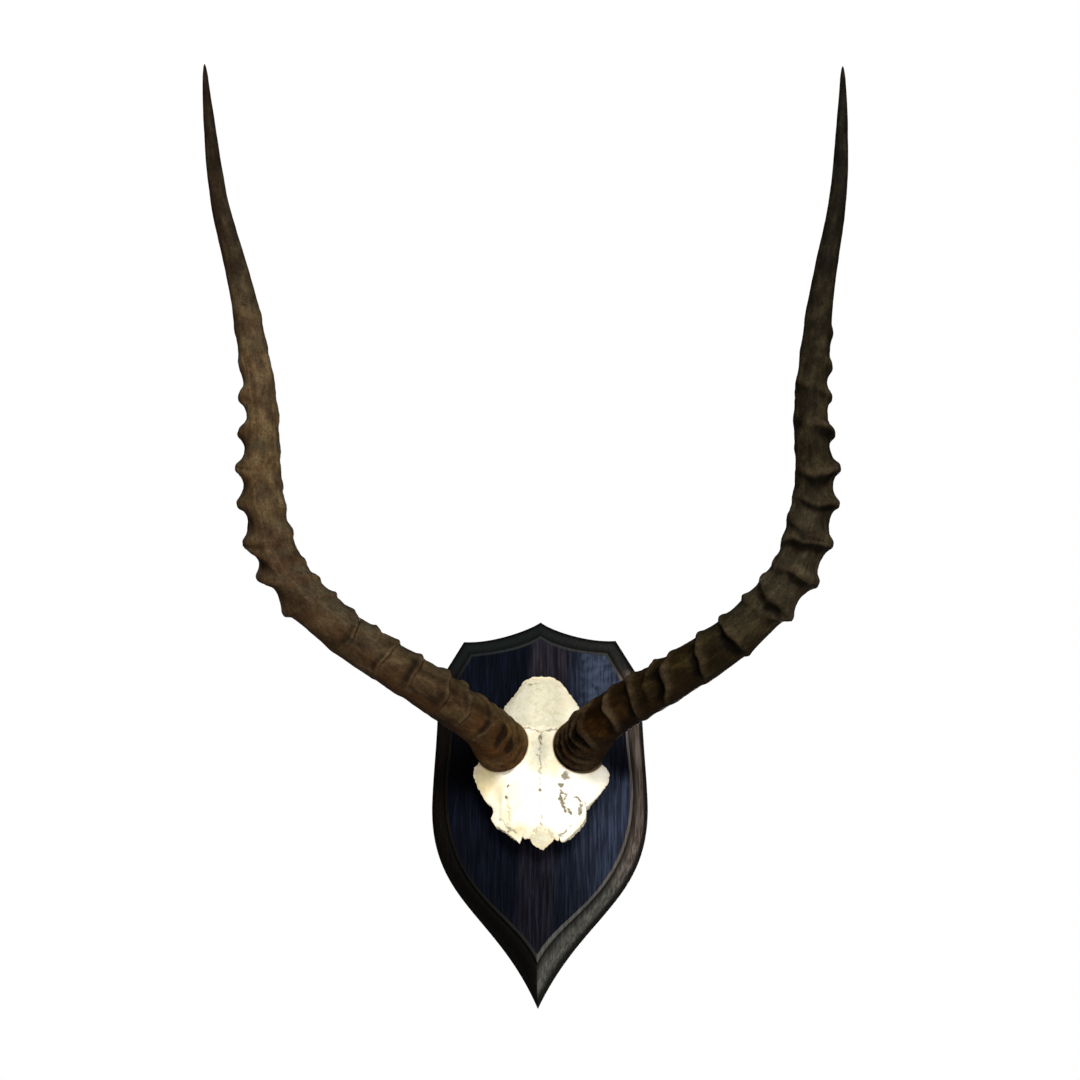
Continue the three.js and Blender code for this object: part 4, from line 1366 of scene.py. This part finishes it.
hanger = slot_block(
    "hanger_plate_zinc", HANGER_WIDTH, HANGER_LENGTH, PLATE_BACK, PLATE_FRONT, HANGER_AT
)
entry_at = (0, HANGER_HEIGHT - KEYHOLE_DROP)
cut(hanger, round_cone("entry", KEYHOLE_RADIUS, KEYHOLE_RADIUS, *THROUGH, entry_at))
slot_at = (0, HANGER_HEIGHT + (KEYHOLE_TOP - KEYHOLE_DROP) / 2)
slot_length = KEYHOLE_TOP + KEYHOLE_DROP + KEYHOLE_SLOT
cut(hanger, slot_block("slot", KEYHOLE_SLOT, slot_length, *THROUGH, slot_at))
for place in HANGER_SCREWS:
    cut(hanger, round_cone("seat", *COUNTERSINK, place))
edges = hanger.modifiers.new("eased_edges", "BEVEL")
edges.width = EASED_EDGE * MM
edges.segments = 2
edges.limit_method = "ANGLE"
edges.angle_limit = math.radians(EASED_ANGLE)
bpy.ops.object.modifier_apply(modifier=edges.name)
print("hanger plate:", len(hanger.data.polygons), "faces")


# %% Turned screws
SCREW_SIDES = 32
DRIVER_WIDTH, DRIVER_DEPTH = 0.9, 0.7


def turned_screw(name, size, place):
    head_radius, head_height, shank_radius, length, sink = size
    deselect_all()
    profile = [
        (head_radius - 0.15, 0), (head_radius, 0.15), (head_radius, 0.35),
        (shank_radius * 1.25, head_height), (shank_radius, head_height + 0.8),
        (shank_radius, length - 2.2 * shank_radius), (0.15, length - 0.1),
    ]
    bpy.ops.mesh.primitive_circle_add(
        vertices=SCREW_SIDES, radius=profile[0][0], fill_type="NGON"
    )
    screw = newest(name)
    edit_all()
    for (radius, height), (next_radius, next_height) in zip(profile, profile[1:]):
        extrude_by(0, 0, next_height - height)
        narrower = (next_radius / radius, next_radius / radius, 1)
        bpy.ops.transform.resize(value=narrower, center_override=(0, 0, next_height))
    leave_facing_out()
    screw.scale = (MM, MM, MM)
    screw.rotation_euler = FACING_FRONT
    screw.location = (place[0] * MM, -sink * MM, place[1] * MM)
    apply_place()
    return screw


def driver_slot(place, length, sink, lean):
    deselect_all()
    bpy.ops.mesh.primitive_cube_add(size=1, location=(place[0] * MM, -sink * MM, place[1] * MM))
    blade = bpy.context.object
    blade.scale = (length * MM, 2 * DRIVER_DEPTH * MM, DRIVER_WIDTH * MM)
    blade.rotation_euler = (0, math.radians(lean), 0)
    apply_place()
    return blade


def slotted_screw(node, size, place, lean):
    screw = turned_screw(node + "_turned", size, place)
    cut(screw, driver_slot(place, 3 * size[0], size[-1], lean))
    return screw


# %% Four screws
HANGER_SCREW = (3.1, 1.4, 1.3, 13.0, 0.45)
SKULL_SCREW = (4.4, 3.0, 2.0, 38.0, 0.6)
SCREWS = {
    "hanger_screw_upper": (HANGER_SCREW, HANGER_SCREWS[0], 24),
    "hanger_screw_lower": (HANGER_SCREW, HANGER_SCREWS[1], -38),
    "skull_screw_left": (SKULL_SCREW, SKULL_SCREWS[0], 61),
    "skull_screw_right": (SKULL_SCREW, SKULL_SCREWS[1], 8),
}
screws = {node: slotted_screw(node, *screw) for node, screw in SCREWS.items()}
print("screws:", len(screws))

# %% [markdown]
# ## Zinc and steel finishes
# Zinc plating is a dull, cloudy silver. The screws are plain steel, darker, with the odd brown
# freckle.

# %% Metal finishes
def metal_finish(name, dark, pale, freckle, rough):
    finish = Finish(name)
    places = finish.places()
    clouds = finish.noise(places, 260, 5, 0.6)
    scratches = finish.noise(places, (2600, 400, 240), 3, 0.6)
    base = finish.tones(clouds, dark, pale, at=(0.3, 0.7))
    base = finish.mix(finish.spread(clouds, 0.66, 0.78, 0.0, 0.7), base, freckle)
    return finish.surface({
        "Base Color": base, "Metallic": 1.0,
        "Roughness": finish.spread(clouds, 0.3, 0.7, rough, rough + 0.2),
        "Normal": finish.bump(scratches, 0.0001, 0.4),
    })


zinc = (rgb(150, 152, 154), rgb(196, 198, 200), rgb(170, 168, 160))
steel = (rgb(112, 110, 106), rgb(158, 156, 152), rgb(104, 80, 58))
screw_steel = metal_finish("screw_steel", *steel, 0.38)
finish_piece(hanger, "hanger_plate", metal_finish("zinc_steel", *zinc, 0.34), 35)
for node, screw in screws.items():
    finish_piece(screw, node, screw_steel, sharp_angle=35)
